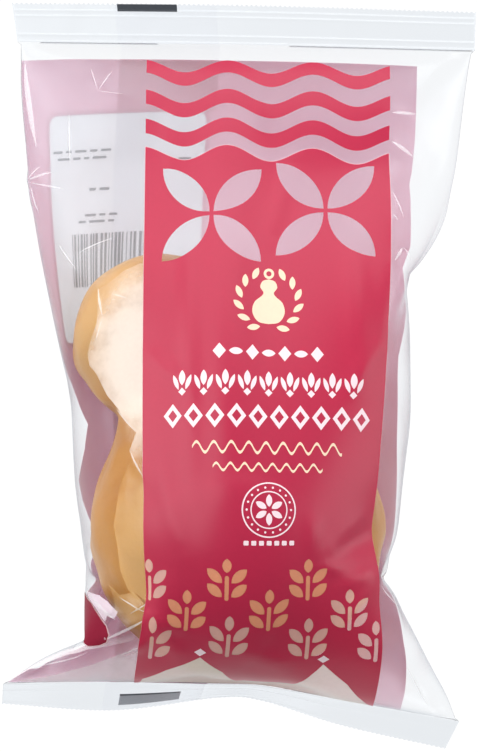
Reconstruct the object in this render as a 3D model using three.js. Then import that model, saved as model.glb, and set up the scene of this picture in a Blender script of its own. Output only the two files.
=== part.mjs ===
// A flow pack of smoked scamorza: one pear-shaped cheese sealed in a pillow bag of clear printed
// film, with a self-adhesive label on its back. The bag lies on its back, front face up.
//
// Millimetres. +Z is up, out of the front face, and +Y runs along the bag to its top seal. The
// origin is under the middle of the bag's outline, on the surface that it rests on.
//
// The bag is one closed form. Its outline is read from stations along the two side folds, and its
// front and back faces bulge away from the folds over the cheese. Both faces run on, pressed
// together, as the flat seals at the two ends.

import * as THREE from 'three';
import { mergeVertices } from 'three/addons/utils/BufferGeometryUtils.js';

// Driving dimensions
const FILM = 1.0; // both films of a seal, thick enough to stand as a solid
const SEAL_ROWS = 3; // rows of faces over each seal
const PILLOW_ROWS = 46; // rows of faces between the seals
const ACROSS = 26; // faces from one side fold to the other
const SEAL_REACH = 0.11; // how far into the bag a seal's waves are felt, as a share of its length
const FLAT_END = 1.0; // power of the faces' section at the seals, where they are lens-shaped
const ROUND_MIDDLE = 0.56; // and over the cheese, where they are nearly half an ellipse
const ROUNDING = 0.5; // how soon the section turns round away from a seal: less is sooner

const LABEL_LEFT = -48.5;
const LABEL_RIGHT = -8;
const LABEL_TOP = 67;
const LABEL_BOTTOM = 12;
const LABEL_THICKNESS = 0.3;
const LABEL_GAP = 0.45; // from the film, so that the two solids stay apart
const LABEL_CORNER = 2.5;
const LABEL_DRIFT = 6.5; // how far its lower end follows the narrowing film to the right
const LABEL_FACES = [12, 16]; // across and along it
const BELOW = -10; // a height under the whole bag, from where the film over the label is found

// One station for each place where the outline or the height changes, from the bottom seal up.
// left and right: the side folds. fold: their height. front and back: the height of the front's
// crest and of the back's lowest line. A back below 0 is pressed flat by the surface under it.
// lean: how far the crest moves to the left, where the cheese's head lies.
const STATIONS = [
  { left: [-59.0, -76.9], right: [55.1, -86.4], fold: 20, front: 20, back: 20, lean: 0 },
  { left: [-49.0, -70.5], right: [50.0, -76.5], fold: 22, front: 35, back: 12, lean: 0 },
  { left: [-39.0, -63.0], right: [44.5, -66.0], fold: 25, front: 51, back: 6, lean: 0 },
  { left: [-38.8, -52.0], right: [38.5, -52.5], fold: 28, front: 63, back: -0.6, lean: 0 },
  { left: [-40.0, -38.0], right: [39.8, -39.0], fold: 30, front: 65.5, back: -1.6, lean: 0 },
  { left: [-41.3, -22.0], right: [41.2, -22.0], fold: 30, front: 64, back: -1.6, lean: 0.02 },
  { left: [-42.2, -7.0], right: [42.2, -7.0], fold: 28, front: 55, back: -1.6, lean: 0.14 },
  { left: [-45.5, 9.0], right: [42.5, 9.0], fold: 25, front: 47, back: 1.2, lean: 0.26 },
  { left: [-49.0, 24.0], right: [43.6, 25.0], fold: 23, front: 42, back: 5.2, lean: 0.2 },
  { left: [-52.2, 39.0], right: [51.0, 38.5], fold: 21, front: 37, back: 7, lean: 0.1 },
  { left: [-54.0, 52.0], right: [55.4, 51.0], fold: 20, front: 33.5, back: 8.5, lean: 0.03 },
  { left: [-55.0, 67.0], right: [57.0, 66.0], fold: 19, front: 28.5, back: 10.5, lean: 0 },
  { left: [-55.4, 83.6], right: [59.0, 81.4], fold: 18, front: 18, back: 18, lean: 0 },
];

// The bottom seal is buckled. Its inner and outer edges, from left to right.
const BOTTOM_INNER = [
  [-59.0, -76.9, 20],
  [-31.6, -76.4, 19],
  [-5.4, -76.8, 25],
  [6.0, -77.2, 26],
  [25.6, -81.0, 20],
  [55.1, -86.4, 17],
];
const BOTTOM_OUTER = [
  [-59.4, -82.2, 13],
  [-31.6, -83.9, 14],
  [-5.4, -80.6, 17],
  [6.0, -81.4, 18],
  [25.6, -87.6, 14.5],
  [51.6, -93.5, 13],
];

// The top seal is nearly straight.
const TOP_INNER = [
  [-55.4, 83.6, 18],
  [2.0, 82.8, 19.5],
  [59.0, 81.4, 18],
];
const TOP_OUTER = [
  [-56.8, 93.5, 17],
  [2.0, 92.9, 18.5],
  [59.4, 91.2, 17],
];

const curve = (points) => new THREE.CatmullRomCurve3(points.map((p) => new THREE.Vector3(...p)));
const leftFold = curve(STATIONS.map((s) => [...s.left, s.fold]));
const rightFold = curve(STATIONS.map((s) => [...s.right, s.fold]));
const bulge = curve(STATIONS.map((s) => [s.front - s.fold, s.fold - s.back, s.lean]));
const [bottomInner, bottomOuter, topInner, topOuter] =
  [BOTTOM_INNER, BOTTOM_OUTER, TOP_INNER, TOP_OUTER].map(curve);

/** The mid surface between the faces. across runs 0..1 from left to right, along 0..1 upwards. */
function midPoint(across, along) {
  const straight = (t) => leftFold.getPoint(t).lerp(rightFold.getPoint(t), across);
  const felt = (distance) => Math.exp(-((distance / SEAL_REACH) ** 2));
  const fromBottom = bottomInner.getPoint(across).sub(straight(0));
  const fromTop = topInner.getPoint(across).sub(straight(1));
  return straight(along)
    .addScaledVector(fromBottom, felt(along))
    .addScaledVector(fromTop, felt(1 - along));
}

/** A point of the pillow's front (side 1) or back (side -1). */
function pillowPoint(across, along, side) {
  const spread = Math.sin((across - 0.5) * Math.PI); // closer rows near the folds, where it turns
  const point = midPoint((spread + 1) / 2, along);
  const { x: frontBulge, y: backBulge, z: lean } = bulge.getPoint(along);
  const fullness = Math.sin(Math.PI * along) ** ROUNDING;
  const power = FLAT_END + (ROUND_MIDDLE - FLAT_END) * fullness;
  const section = Math.max(1 - spread * spread, 0) ** power * (1 - lean * spread);
  const height = Math.max(side > 0 ? frontBulge : backBulge, 0) * section;
  point.z = Math.max(point.z + side * (FILM / 2 + height), 0);
  return point;
}

/** A point of a seal. out runs from 0 at its inner edge to 1 at its outer edge. */
function sealPoint(inner, outer, across, out, side) {
  const spread = (Math.sin((across - 0.5) * Math.PI) + 1) / 2;
  const point = inner.getPoint(spread).lerp(outer.getPoint(spread), out);
  point.z += (side * FILM) / 2;
  return point;
}

/** Moves every vertex of a box with faces along its length onto the bag. */
function bagGeometry() {
  const rows = PILLOW_ROWS + 2 * SEAL_ROWS;
  const geometry = new THREE.BoxGeometry(1, 1, 1, ACROSS, rows, 1);
  const position = geometry.getAttribute('position');
  for (let i = 0; i < position.count; i++) {
    const across = position.getX(i) + 0.5;
    const row = Math.round((position.getY(i) + 0.5) * rows) - SEAL_ROWS;
    const side = Math.sign(position.getZ(i));
    let point;
    if (row < 0) point = sealPoint(bottomInner, bottomOuter, across, -row / SEAL_ROWS, side);
    else if (row > PILLOW_ROWS)
      point = sealPoint(topInner, topOuter, across, (row - PILLOW_ROWS) / SEAL_ROWS, side);
    else point = pillowPoint(across, row / PILLOW_ROWS, side);
    position.setXYZ(i, point.x, point.y, point.z);
  }
  return closed(geometry);
}

/** One skin of shared vertices, without the seams that normals and uvs leave. */
function closed(geometry) {
  geometry.deleteAttribute('normal');
  geometry.deleteAttribute('uv');
  const merged = mergeVertices(geometry, 1e-4);
  merged.computeVertexNormals();
  return merged;
}

/** The label: a round-cornered sheet that follows the film of the back, just under it. */
function labelGeometry(bag) {
  const width = LABEL_RIGHT - LABEL_LEFT;
  const length = LABEL_TOP - LABEL_BOTTOM;
  const geometry = new THREE.BoxGeometry(width, length, 1, ...LABEL_FACES, 1);
  const position = geometry.getAttribute('position');
  const ray = new THREE.Raycaster();
  const up = new THREE.Vector3(0, 0, 1);
  for (let i = 0; i < position.count; i++) {
    const [x, y] = roundedCorner(position.getX(i), position.getY(i), width / 2, length / 2);
    const drift = LABEL_DRIFT * (0.5 - y / length) ** 2;
    const from = new THREE.Vector3(
      x + (LABEL_LEFT + LABEL_RIGHT) / 2 + drift, y + (LABEL_TOP + LABEL_BOTTOM) / 2, BELOW);
    ray.set(from, up);
    const film = ray.intersectObject(bag)[0].point.z;
    const under = position.getZ(i) > 0 ? 0 : LABEL_THICKNESS;
    position.setXYZ(i, from.x, from.y, film - LABEL_GAP - under);
  }
  return closed(geometry);
}

/** Pulls a point of a rectangle's corner square in to the corner's arc. */
function roundedCorner(x, y, halfWidth, halfLength) {
  const overX = Math.abs(x) - (halfWidth - LABEL_CORNER);
  const overY = Math.abs(y) - (halfLength - LABEL_CORNER);
  if (overX <= 0 || overY <= 0) return [x, y];
  const pull = Math.max(overX, overY) / Math.hypot(overX, overY);
  return [
    Math.sign(x) * (halfWidth - LABEL_CORNER + overX * pull),
    Math.sign(y) * (halfLength - LABEL_CORNER + overY * pull),
  ];
}

const filmFinish = new THREE.MeshStandardMaterial({ color: 0xd04a62, roughness: 0.25, metalness: 0 });
const paperFinish = new THREE.MeshStandardMaterial({ color: 0xf0eff0, roughness: 0.6, metalness: 0 });

const bag = new THREE.Mesh(bagGeometry(), filmFinish);
bag.name = 'bag';
const label = new THREE.Mesh(labelGeometry(bag), paperFinish);
label.name = 'back_label';

const pack = new THREE.Group();
pack.add(bag, label);

export default pack;
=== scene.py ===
"""A smoked scamorza in its flow pack: clear film, printed panels, label and cheese round a CAD frame.

Everything is worked out in millimetres in the frame's own axes and becomes metres when a mesh is made.
The film is a tube of sheet that is wider than the cheese. Its rest shape is found here by relaxing a net
of points that keep their flat spacing, held by the two seals, the cheese, the table and the outline of
the pack. The print is drawn flat, cut along the net's lines and laid against the film.
"""

from __future__ import annotations

import functools
import logging
import math
from dataclasses import dataclass, field
from enum import Enum
from typing import Any, Iterable

import bmesh
import bpy
import numpy as np
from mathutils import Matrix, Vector

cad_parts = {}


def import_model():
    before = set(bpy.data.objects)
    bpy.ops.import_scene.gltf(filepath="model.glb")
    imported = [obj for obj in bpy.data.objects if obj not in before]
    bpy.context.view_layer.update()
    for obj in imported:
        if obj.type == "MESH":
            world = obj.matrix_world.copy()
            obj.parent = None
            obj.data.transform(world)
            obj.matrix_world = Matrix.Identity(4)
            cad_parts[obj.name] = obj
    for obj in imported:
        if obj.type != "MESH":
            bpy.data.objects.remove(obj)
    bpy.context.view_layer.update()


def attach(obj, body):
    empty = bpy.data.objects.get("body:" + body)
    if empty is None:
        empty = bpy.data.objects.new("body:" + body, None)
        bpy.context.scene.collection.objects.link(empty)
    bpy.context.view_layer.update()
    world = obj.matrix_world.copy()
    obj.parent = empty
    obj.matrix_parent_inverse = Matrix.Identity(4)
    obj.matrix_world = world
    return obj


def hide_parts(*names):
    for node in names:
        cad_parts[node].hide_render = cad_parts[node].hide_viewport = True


MM = 0.001
TURN = 2 * math.pi
IOR = 1.45  # of ink, film and curd

log = logging.getLogger("pack")

Place = tuple[float, float]  # X and Y of the pack, or on the flat film how far aside and how far up
Point = tuple[float, float, float]
Loop = list[Place]


# ---------------------------------------------------------------- small tools


def linear(code: str) -> tuple[float, float, float, float]:
    """Turns an sRGB hex colour into the linear colour that a socket takes.

    Args:
        code: six hex digits.

    Returns:
        Linear red, green and blue, and an alpha of 1.
    """
    parts = [int(code[k : k + 2], 16) / 255 for k in (0, 2, 4)]
    return (*((c / 12.92) if c <= 0.04045 else ((c + 0.055) / 1.055) ** 2.4 for c in parts), 1.0)


def wire(node: bpy.types.Node, inputs: dict[str | int, Any]) -> None:
    """Sets or links some of a node's input sockets.

    Args:
        node: the node.
        inputs: a value or an output socket for each input, by the input's name or number.
    """
    for key, value in inputs.items():
        if isinstance(value, bpy.types.NodeSocket):
            node.id_data.links.new(value, node.inputs[key])
        else:
            node.inputs[key].default_value = value


def add_node(
    tree: bpy.types.NodeTree, kind: str, inputs: dict[str | int, Any], output: str | int = 0, **settings: Any
) -> bpy.types.NodeSocket:
    """Adds one node with its settings, and sets or links its input sockets.

    Args:
        tree: the material's or world's node tree.
        kind: the node's type name, after the word ShaderNode.
        inputs: a value or an output socket for each input, by the input's name or number.
        output: the name or number of the output that is wanted.
        **settings: the node's own properties.

    Returns:
        The wanted output.
    """
    node = tree.nodes.new("ShaderNode" + kind)
    for name, value in settings.items():
        setattr(node, name, value)
    wire(node, inputs)
    return node.outputs[output]


def curve_through(knots: Iterable[Iterable[float]], at: np.ndarray) -> np.ndarray:
    """Reads a smooth cubic curve through knots.

    Args:
        knots: the points that the curve passes, evenly spread over 0..1.
        at: where to read it, from 0 to 1.

    Returns:
        One point for each value of at.
    """
    points = np.array([list(k) for k in knots], float)
    spans = len(points) - 1
    padded = np.vstack([2 * points[0] - points[1], points, 2 * points[-1] - points[-2]])
    place = np.clip(np.asarray(at, float) * spans, 0, spans - 1e-9)
    index = place.astype(int)
    f = (place - index)[..., None]
    a, b, c, d = (padded[index + k] for k in range(4))
    return 0.5 * (2 * b + (c - a) * f + (2 * a - 5 * b + 4 * c - d) * f**2 + (3 * b - a - 3 * c + d) * f**3)


def read_line(points: np.ndarray, along: np.ndarray, wanted: np.ndarray) -> np.ndarray:
    """Reads a polyline between its points.

    Args:
        points: the polyline.
        along: how far along it each point lies.
        wanted: how far along it to read.

    Returns:
        One point for each value of wanted.
    """
    return np.stack([np.interp(wanted, along, points[:, k]) for k in range(points.shape[1])], axis=-1)


def evenly(points: np.ndarray, count: int) -> np.ndarray:
    """Spreads points along a polyline at equal distances.

    Args:
        points: the polyline.
        count: how many points to return.

    Returns:
        The spread points, ends included.
    """
    steps = np.linalg.norm(np.diff(points, axis=0), axis=1)
    along = np.concatenate([[0.0], np.cumsum(steps)])
    return read_line(points, along, np.linspace(0, along[-1], count))


def unit(vectors: np.ndarray) -> np.ndarray:
    """Scales vectors to a length of 1."""
    return vectors / np.maximum(np.linalg.norm(vectors, axis=-1, keepdims=True), 1e-9)


def ripples(points: np.ndarray, wavelength: float, seed: int, waves: int = 20) -> np.ndarray:
    """A smooth uneven field, as the sum of waves in seeded directions.

    Args:
        points: where to read it.
        wavelength: the mean distance between its crests, in mm.
        seed: the seed of the draw.
        waves: how many waves are added.

    Returns:
        A value of about -1..1 for each point.
    """
    draw = np.random.default_rng(seed)
    total = np.zeros(points.shape[:-1])
    for _ in range(waves):
        direction = unit(draw.normal(size=3)) * TURN / (wavelength * draw.uniform(0.6, 1.6))
        total += np.sin(points @ direction + draw.uniform(0, TURN))
    return total / math.sqrt(waves)


def move_to(bm: bmesh.types.BMesh, points: np.ndarray) -> None:
    """Moves each vertex of a mesh to its point."""
    for vert, point in zip(bm.verts, points):
        vert.co = point


def make_piece(name: str, bm: bmesh.types.BMesh, finish: Finish) -> bpy.types.Object:
    """Makes an object of a bmesh in mm, dresses it and lets it ride on the pack's only body.

    Args:
        name: the piece's name.
        bm: its mesh, in mm. It is freed.
        finish: its finish.

    Returns:
        The new object, at the origin.
    """
    bmesh.ops.scale(bm, vec=(MM, MM, MM), verts=bm.verts)
    for face in bm.faces:
        face.smooth = True
    mesh = bpy.data.meshes.new(name)
    bm.to_mesh(mesh)
    bm.free()
    mesh.materials.append(finish.material())
    piece = bpy.data.objects.new(name, mesh)
    bpy.context.collection.objects.link(piece)
    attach(piece, "root")
    log.info("%s: %d faces", name, len(mesh.polygons))
    return piece


# ---------------------------------------------------------------- finishes


def uneven_reach(
    tree: bpy.types.NodeTree, place: bpy.types.NodeSocket, centre: Point, radii: Point, mottle_mm: float
) -> bpy.types.NodeSocket:
    """Measures how far a point lies from a centre, as a share of three radii and with an uneven edge.

    Args:
        tree: the material's node tree.
        place: the output that gives the point.
        centre: the centre, in mm.
        radii: the radii along X, Y and Z.
        mottle_mm: the size of the unevenness.

    Returns:
        About 0.25 at the centre and 1.25 at the radii.
    """
    scale = tuple(1 / (r * MM) for r in radii)
    shift = tuple(-c / r for c, r in zip(centre, radii))
    spot = add_node(tree, "VectorMath", {0: place, 1: scale, 2: shift}, operation="MULTIPLY_ADD")
    reach = add_node(tree, "VectorMath", {0: spot}, "Value", operation="LENGTH")
    noise = add_node(tree, "TexNoise", {"Vector": place, "Scale": 1 / (mottle_mm * MM), "Detail": 3.0})
    return add_node(tree, "Math", {0: noise, 1: 0.5, 2: reach}, operation="MULTIPLY_ADD")


@dataclass(frozen=True)
class Finish:
    """A real material by its name. Its Blender material is made once, when the first piece wears it."""

    name: str

    @functools.cache
    def material(self) -> bpy.types.Material:
        """Makes the material.

        Returns:
            The material, the same one each time.
        """
        made = bpy.data.materials.new(self.name)
        made.use_nodes = True
        self.dress(made.node_tree, add_node(made.node_tree, "TexCoord", {}, "Object"))
        return made

    def dress(self, tree: bpy.types.NodeTree, place: bpy.types.NodeSocket) -> None:
        """Adds the finish's own nodes.

        Args:
            tree: the material's node tree, with a shader and an output in it.
            place: the output that gives the place on the object.
        """
        raise NotImplementedError


@dataclass(frozen=True)
class ClearFilm(Finish):
    """Cast polyamide and polyethylene laminate, unprinted.

    It is nearly invisible face on, and shows by the soft white gleams on its creases and by the white
    room that it mirrors where it is seen edge on.
    """

    name: str = "cast_laminate_film"
    tint: str = "fafbfc"
    gleam: str = "dde0e4"  # it mirrors a little less than the whole room
    face_on: float = 0.035  # the share mirrored by both faces of the sheet, seen face on
    rise: float = 4.2  # how late the mirrored share rises towards a grazing view: less is sooner
    roughness: float = 0.2
    crease_mm: float = 16.0
    crease_depth_mm: float = 0.22
    crinkle_mm: float = 1.8
    crinkle_depth_mm: float = 0.015

    def dress(self, tree: bpy.types.NodeTree, place: bpy.types.NodeSocket) -> None:
        """Adds gloss over clear film, more of it the flatter the film is seen."""
        tree.nodes.remove(tree.nodes["Principled BSDF"])
        broad = {"Vector": place, "Scale": 1 / (self.crease_mm * MM), "Detail": 1.5, "Distortion": 0.4}
        crease = add_node(tree, "TexNoise", broad, noise_type="RIDGED_MULTIFRACTAL")
        fine = {"Vector": place, "Scale": 1 / (self.crinkle_mm * MM), "Detail": 3.0}
        crinkle = add_node(tree, "TexNoise", fine)
        relief = {"Strength": 1.0, "Distance": self.crease_depth_mm * MM, "Height": crease}
        relief["Normal"] = add_node(tree, "Bump", relief)
        normal = add_node(tree, "Bump", relief | {"Distance": self.crinkle_depth_mm * MM, "Height": crinkle})
        clear = add_node(tree, "BsdfTransparent", {"Color": linear(self.tint)})
        mirror = {"Color": linear(self.gleam), "Roughness": self.roughness, "Normal": normal}
        gloss = add_node(tree, "BsdfGlossy", mirror)
        slant = add_node(tree, "LayerWeight", {"Blend": 0.5, "Normal": normal}, "Facing")
        steep = add_node(tree, "Math", {0: slant, 1: self.rise}, operation="POWER")
        share = add_node(tree, "MapRange", {"Value": steep, "To Min": self.face_on, "To Max": 1.0})
        film = add_node(tree, "MixShader", {0: share, 1: clear, 2: gloss})
        wire(tree.nodes["Material Output"], {"Surface": film})


@dataclass(frozen=True)
class Ink(Finish):
    """Gravure ink: flat, even colour with a faint mottle and a soft sheen, which lets some light through."""

    colour: str
    glow: str = ""  # the colour of light that has passed through it, where that differs
    through: float = 0.35  # the share of light that it scatters through to its other side
    roughness: float = 0.34
    sheen: float = 0.36  # how strongly it mirrors, where 0.5 is what its refraction gives
    mottle: float = 0.05
    mottle_mm: float = 0.9

    def dress(self, tree: bpy.types.NodeTree, place: bpy.types.NodeSocket) -> None:
        """Adds a printed surface, mixed with light from behind."""
        base = tree.nodes["Principled BSDF"]
        cloud = {"Vector": place, "Scale": 1 / (self.mottle_mm * MM), "Detail": 2.0}
        noise = add_node(tree, "TexNoise", cloud)
        amounts = {"Value": noise, "To Min": 1 - self.mottle, "To Max": 1 + self.mottle}
        amount = add_node(tree, "MapRange", amounts)
        tone = add_node(tree, "VectorMath", {0: linear(self.colour)[:3], "Scale": amount}, operation="SCALE")
        wire(base, {"Base Color": tone, "Roughness": self.roughness})
        wire(base, {"IOR": IOR, "Specular IOR Level": self.sheen})
        if self.through:
            lit = add_node(tree, "BsdfTranslucent", {"Color": linear(self.glow or self.colour)})
            both = add_node(tree, "MixShader", {0: self.through, 1: base.outputs[0], 2: lit})
            wire(tree.nodes["Material Output"], {"Surface": both})


@dataclass(frozen=True)
class PaintedVeil(Finish):
    """Painted light over clear film: a pale colour that stands for light caught on the film and for the lit
    look of what lies behind it. What lies behind it shows through, paler and softer.
    """

    colour: str
    cover: float = 0.6  # the share of what lies behind that it hides
    roughness: float = 0.35

    def dress(self, tree: bpy.types.NodeTree, place: bpy.types.NodeSocket) -> None:
        """Adds the painted colour, set up as ink, mixed with clear film."""
        Ink(self.name, self.colour, through=0.0, roughness=self.roughness, sheen=0.5).dress(tree, place)
        clear = add_node(tree, "BsdfTransparent", {"Color": linear("ffffff")})
        ink = tree.nodes["Principled BSDF"].outputs[0]
        both = add_node(tree, "MixShader", {0: self.share(tree, place), 1: clear, 2: ink})
        wire(tree.nodes["Material Output"], {"Surface": both})

    def share(self, tree: bpy.types.NodeTree, place: bpy.types.NodeSocket) -> float | bpy.types.NodeSocket:
        """The share that it hides, the same all over."""
        return self.cover


@dataclass(frozen=True)
class PaintedHighlight(PaintedVeil):
    """A painted highlight on the film: the lights' reflection where the film bows towards them, pale, uneven
    and fading from its centre.
    """

    roughness: float = 0.3
    centre: Point = (0.0, 0.0, 0.0)  # where it is strongest, in mm
    radii: Point = (1.0, 1.0, 1.0)  # where it has gone
    mottle_mm: float = 5.0

    def share(self, tree: bpy.types.NodeTree, place: bpy.types.NodeSocket) -> float | bpy.types.NodeSocket:
        """The share that it hides, which fades away from its centre."""
        reach = uneven_reach(tree, place, self.centre, self.radii, self.mottle_mm)
        fade = {"Value": reach, "From Min": 0.7, "From Max": 1.25, "To Min": self.cover, "To Max": 0.0}
        return add_node(tree, "MapRange", fade, interpolation_type="SMOOTHSTEP")


@dataclass(frozen=True)
class SmokedRind(Finish):
    """The skin of stretched curd after smoking: amber on the body, tan on the head and cream on its crown,
    which is partly a paler rind and partly a painted highlight.
    """

    name: str = "smoked_curd_rind"
    pale: str = "caa068"
    light: str = "bb8030"
    amber: str = "aa6d1e"
    crown_and_highlight: str = "ecd6b8"
    patch_mm: float = 24.0
    grain_mm: float = 2.2
    grain_depth_mm: float = 0.12
    head_from_mm: float = -16.0  # Y where the paler head begins
    head_to_mm: float = 12.0
    head_share: float = 0.75  # how much of the pale tone the head has
    crown_and_highlight_centre: Point = (-21.0, 3.0, 46.0)  # where the paler rind and the painted highlight are strongest
    crown_and_highlight_radii: Point = (17.0, 24.0, 24.0)
    roughness: float = 0.38

    def dress(self, tree: bpy.types.NodeTree, place: bpy.types.NodeSocket) -> None:
        """Adds moist, slightly waxy curd in four tones, the palest partly a painted highlight, with a fine
        grain.
        """
        noise = {"Vector": place, "Scale": 1 / (self.patch_mm * MM), "Detail": 3.0}
        patch = add_node(tree, "TexNoise", noise)
        patches = add_node(tree, "MapRange", {"Value": patch, "From Min": 0.35, "From Max": 0.65})
        along = add_node(tree, "SeparateXYZ", {"Vector": place}, "Y")
        ends = {"From Min": self.head_from_mm * MM, "From Max": self.head_to_mm * MM}
        ramp = {"Value": along, **ends, "To Max": self.head_share}
        headward = add_node(tree, "MapRange", ramp, interpolation_type="SMOOTHSTEP")
        reach = uneven_reach(tree, place, self.crown_and_highlight_centre, self.crown_and_highlight_radii, self.patch_mm / 3)
        ramp = {"Value": reach, "From Min": 0.6, "From Max": 1.2, "To Min": 1.0, "To Max": 0.0}
        toward_crown_and_highlight = add_node(tree, "MapRange", ramp, interpolation_type="SMOOTHSTEP")
        tone: Any = linear(self.amber)
        for share, colour in ((patches, self.light), (headward, self.pale), (toward_crown_and_highlight, self.crown_and_highlight)):
            tone = add_node(tree, "Mix", {0: share, 6: tone, 7: linear(colour)}, 2, data_type="RGBA")
        noise = {"Vector": place, "Scale": 1 / (self.grain_mm * MM), "Detail": 4.0}
        grain = add_node(tree, "TexNoise", noise)
        relief = {"Strength": 1.0, "Distance": self.grain_depth_mm * MM, "Height": grain}
        looks = {
            "Base Color": tone,
            "Normal": add_node(tree, "Bump", relief),
            "Roughness": self.roughness,
            "IOR": IOR,
            "Specular IOR Level": 0.25,
            "Subsurface Weight": 0.2,
            "Subsurface Radius": (1.0, 0.6, 0.3),
            "Subsurface Scale": 4 * MM,
        }
        wire(tree.nodes["Principled BSDF"], looks)


# Printed film. The crimson is a transparent gravure red: deep on its white underprint, and brighter where
# light has come through it. The back's crimson is seen from inside, through the white, as mauve.
# The front's crimson is its ink with a faint painted sheen: a little paler, for the soft reflection over the
# panel.
CRIMSON_AND_SHEEN = Ink("crimson_gravure_ink_and_sheen", "b62749", "f03c64", through=0.25, roughness=0.3, sheen=0.48)
WHITE = Ink("white_underprint_ink", "ecd0da", "fff0f2", through=0.6)
PEACH = Ink("peach_ink", "f8dfc4", through=0.2)
PINKISH_WHITE = Ink("pinkish_white_ink", "f8e4ea", through=0.2)
BACK_CRIMSON = Ink("back_crimson_ink", "dc3460", "f2c2da", through=0.5)
PALE_UNDERPRINT = Ink("pale_underprint_ink", "fbf2fa", "fff0fb", through=0.42)
# Painted shade: the back's print where it comes round the left fold to the front, painted darker than its
# ink.
CRIMSON_IN_PAINTED_SHADE = Ink("crimson_ink_in_painted_shade", "7c152d", through=0.0, roughness=0.5, sheen=0.08)
# Painted light over the clear openings of the sprigs: the lit look of what lies behind them, warm over the
# cheese and rosy towards the back's print.
WARM_PAINTED_LIGHT = PaintedVeil("warm_painted_light", "f3a37f", 0.62)
ROSY_PAINTED_LIGHT = PaintedVeil("rosy_painted_light", "eab8ae", 0.6)
# A painted sheen over the clear peaks above the bottom seal: the folded film's pale reflection.
PALE_PAINTED_SHEEN = PaintedVeil("pale_painted_sheen", "faf0e4", 0.6)

# Coated self-adhesive paper, white with a faint fibre cloud and dull on its glued side, and its print.
LABEL_PAPER = Ink(
    "coated_label_paper", "f8f8fa", through=0.6, roughness=0.6, sheen=0.3, mottle=0.015, mottle_mm=3.0
)
LABEL_BLACK = Ink("label_black_ink", "3a3c40", through=0.0)
SHOWN_THROUGH_GREY = Ink("shown_through_grey", "c8cace", through=0.3)

# Film welded to itself, which is duller, and the flattened fin at the back, which hardly shows.
FIN_FILM = ClearFilm("fin_film", tint="fdfdfe", face_on=0.01)
WELDED_FILM = ClearFilm("welded_film", tint="f6f8fa", face_on=0.05, roughness=0.3)
FIN_END_FILM = ClearFilm("fin_end_film", tint="fdfdfe", face_on=0.008, roughness=0.3)
# Painted glints: white lines along the film's creases.
PAINTED_CREASE_GLINT = PaintedVeil("painted_crease_glint", "f8f8fa", 0.4)

# Painted highlights, the lights' reflection on the film: over the cheese's head, over its body, at the tuck
# and on the lower left wing.
CREAM_PAINTED_HIGHLIGHT = PaintedHighlight("cream_painted_highlight", "e2d6cc", 0.66, centre=(-24.0, 2.0, 42.0), radii=(17.0, 32.0, 30.0))
GOLD_PAINTED_HIGHLIGHT = PaintedHighlight("gold_painted_highlight", "f4cd90", 0.32, centre=(-23.0, -42.0, 45.0), radii=(14.0, 25.0, 45.0))
LILAC_PAINTED_HIGHLIGHT = PaintedHighlight(
    "lilac_painted_highlight", "e6dae4", 0.6, centre=(-34.0, -57.0, 30.0), radii=(12.0, 9.0, 40.0), mottle_mm=2.0
)
PALE_PAINTED_HIGHLIGHT = PaintedHighlight("pale_painted_highlight", "e4dade", 0.56, centre=(-40.0, -72.0, 25.0), radii=(34.0, 16.0, 40.0))

# The eye marks that steer the packing machine: black on the top seal, grey through film on the bottom one.
MARK_BLACK = Ink("eye_mark_black", "3b3f45")
MARK_GREY = Ink("eye_mark_grey", "c0c4c7")
MARK_EDGE = Ink("eye_mark_edge", "6c7074")


# ---------------------------------------------------------------- the cheese


@dataclass(frozen=True)
class Rounded:
    """An ellipsoid in mm, and over what distance it melts into the forms before it."""

    centre: Point
    radii: Point
    blend: float = 0.0

    def distance(self, points: np.ndarray) -> tuple[np.ndarray, np.ndarray]:
        """How far points lie from it, and the direction away from it.

        Args:
            points: places in mm.

        Returns:
            The distance, negative inside, and the direction.
        """
        size = np.array(self.radii)
        scaled = (points - np.array(self.centre)) / size
        reach = np.linalg.norm(scaled, axis=-1)
        slope = scaled / size
        steep = np.maximum(np.linalg.norm(slope, axis=-1), 1e-9)
        return reach * (reach - 1) / steep, slope / steep[..., None]


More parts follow.
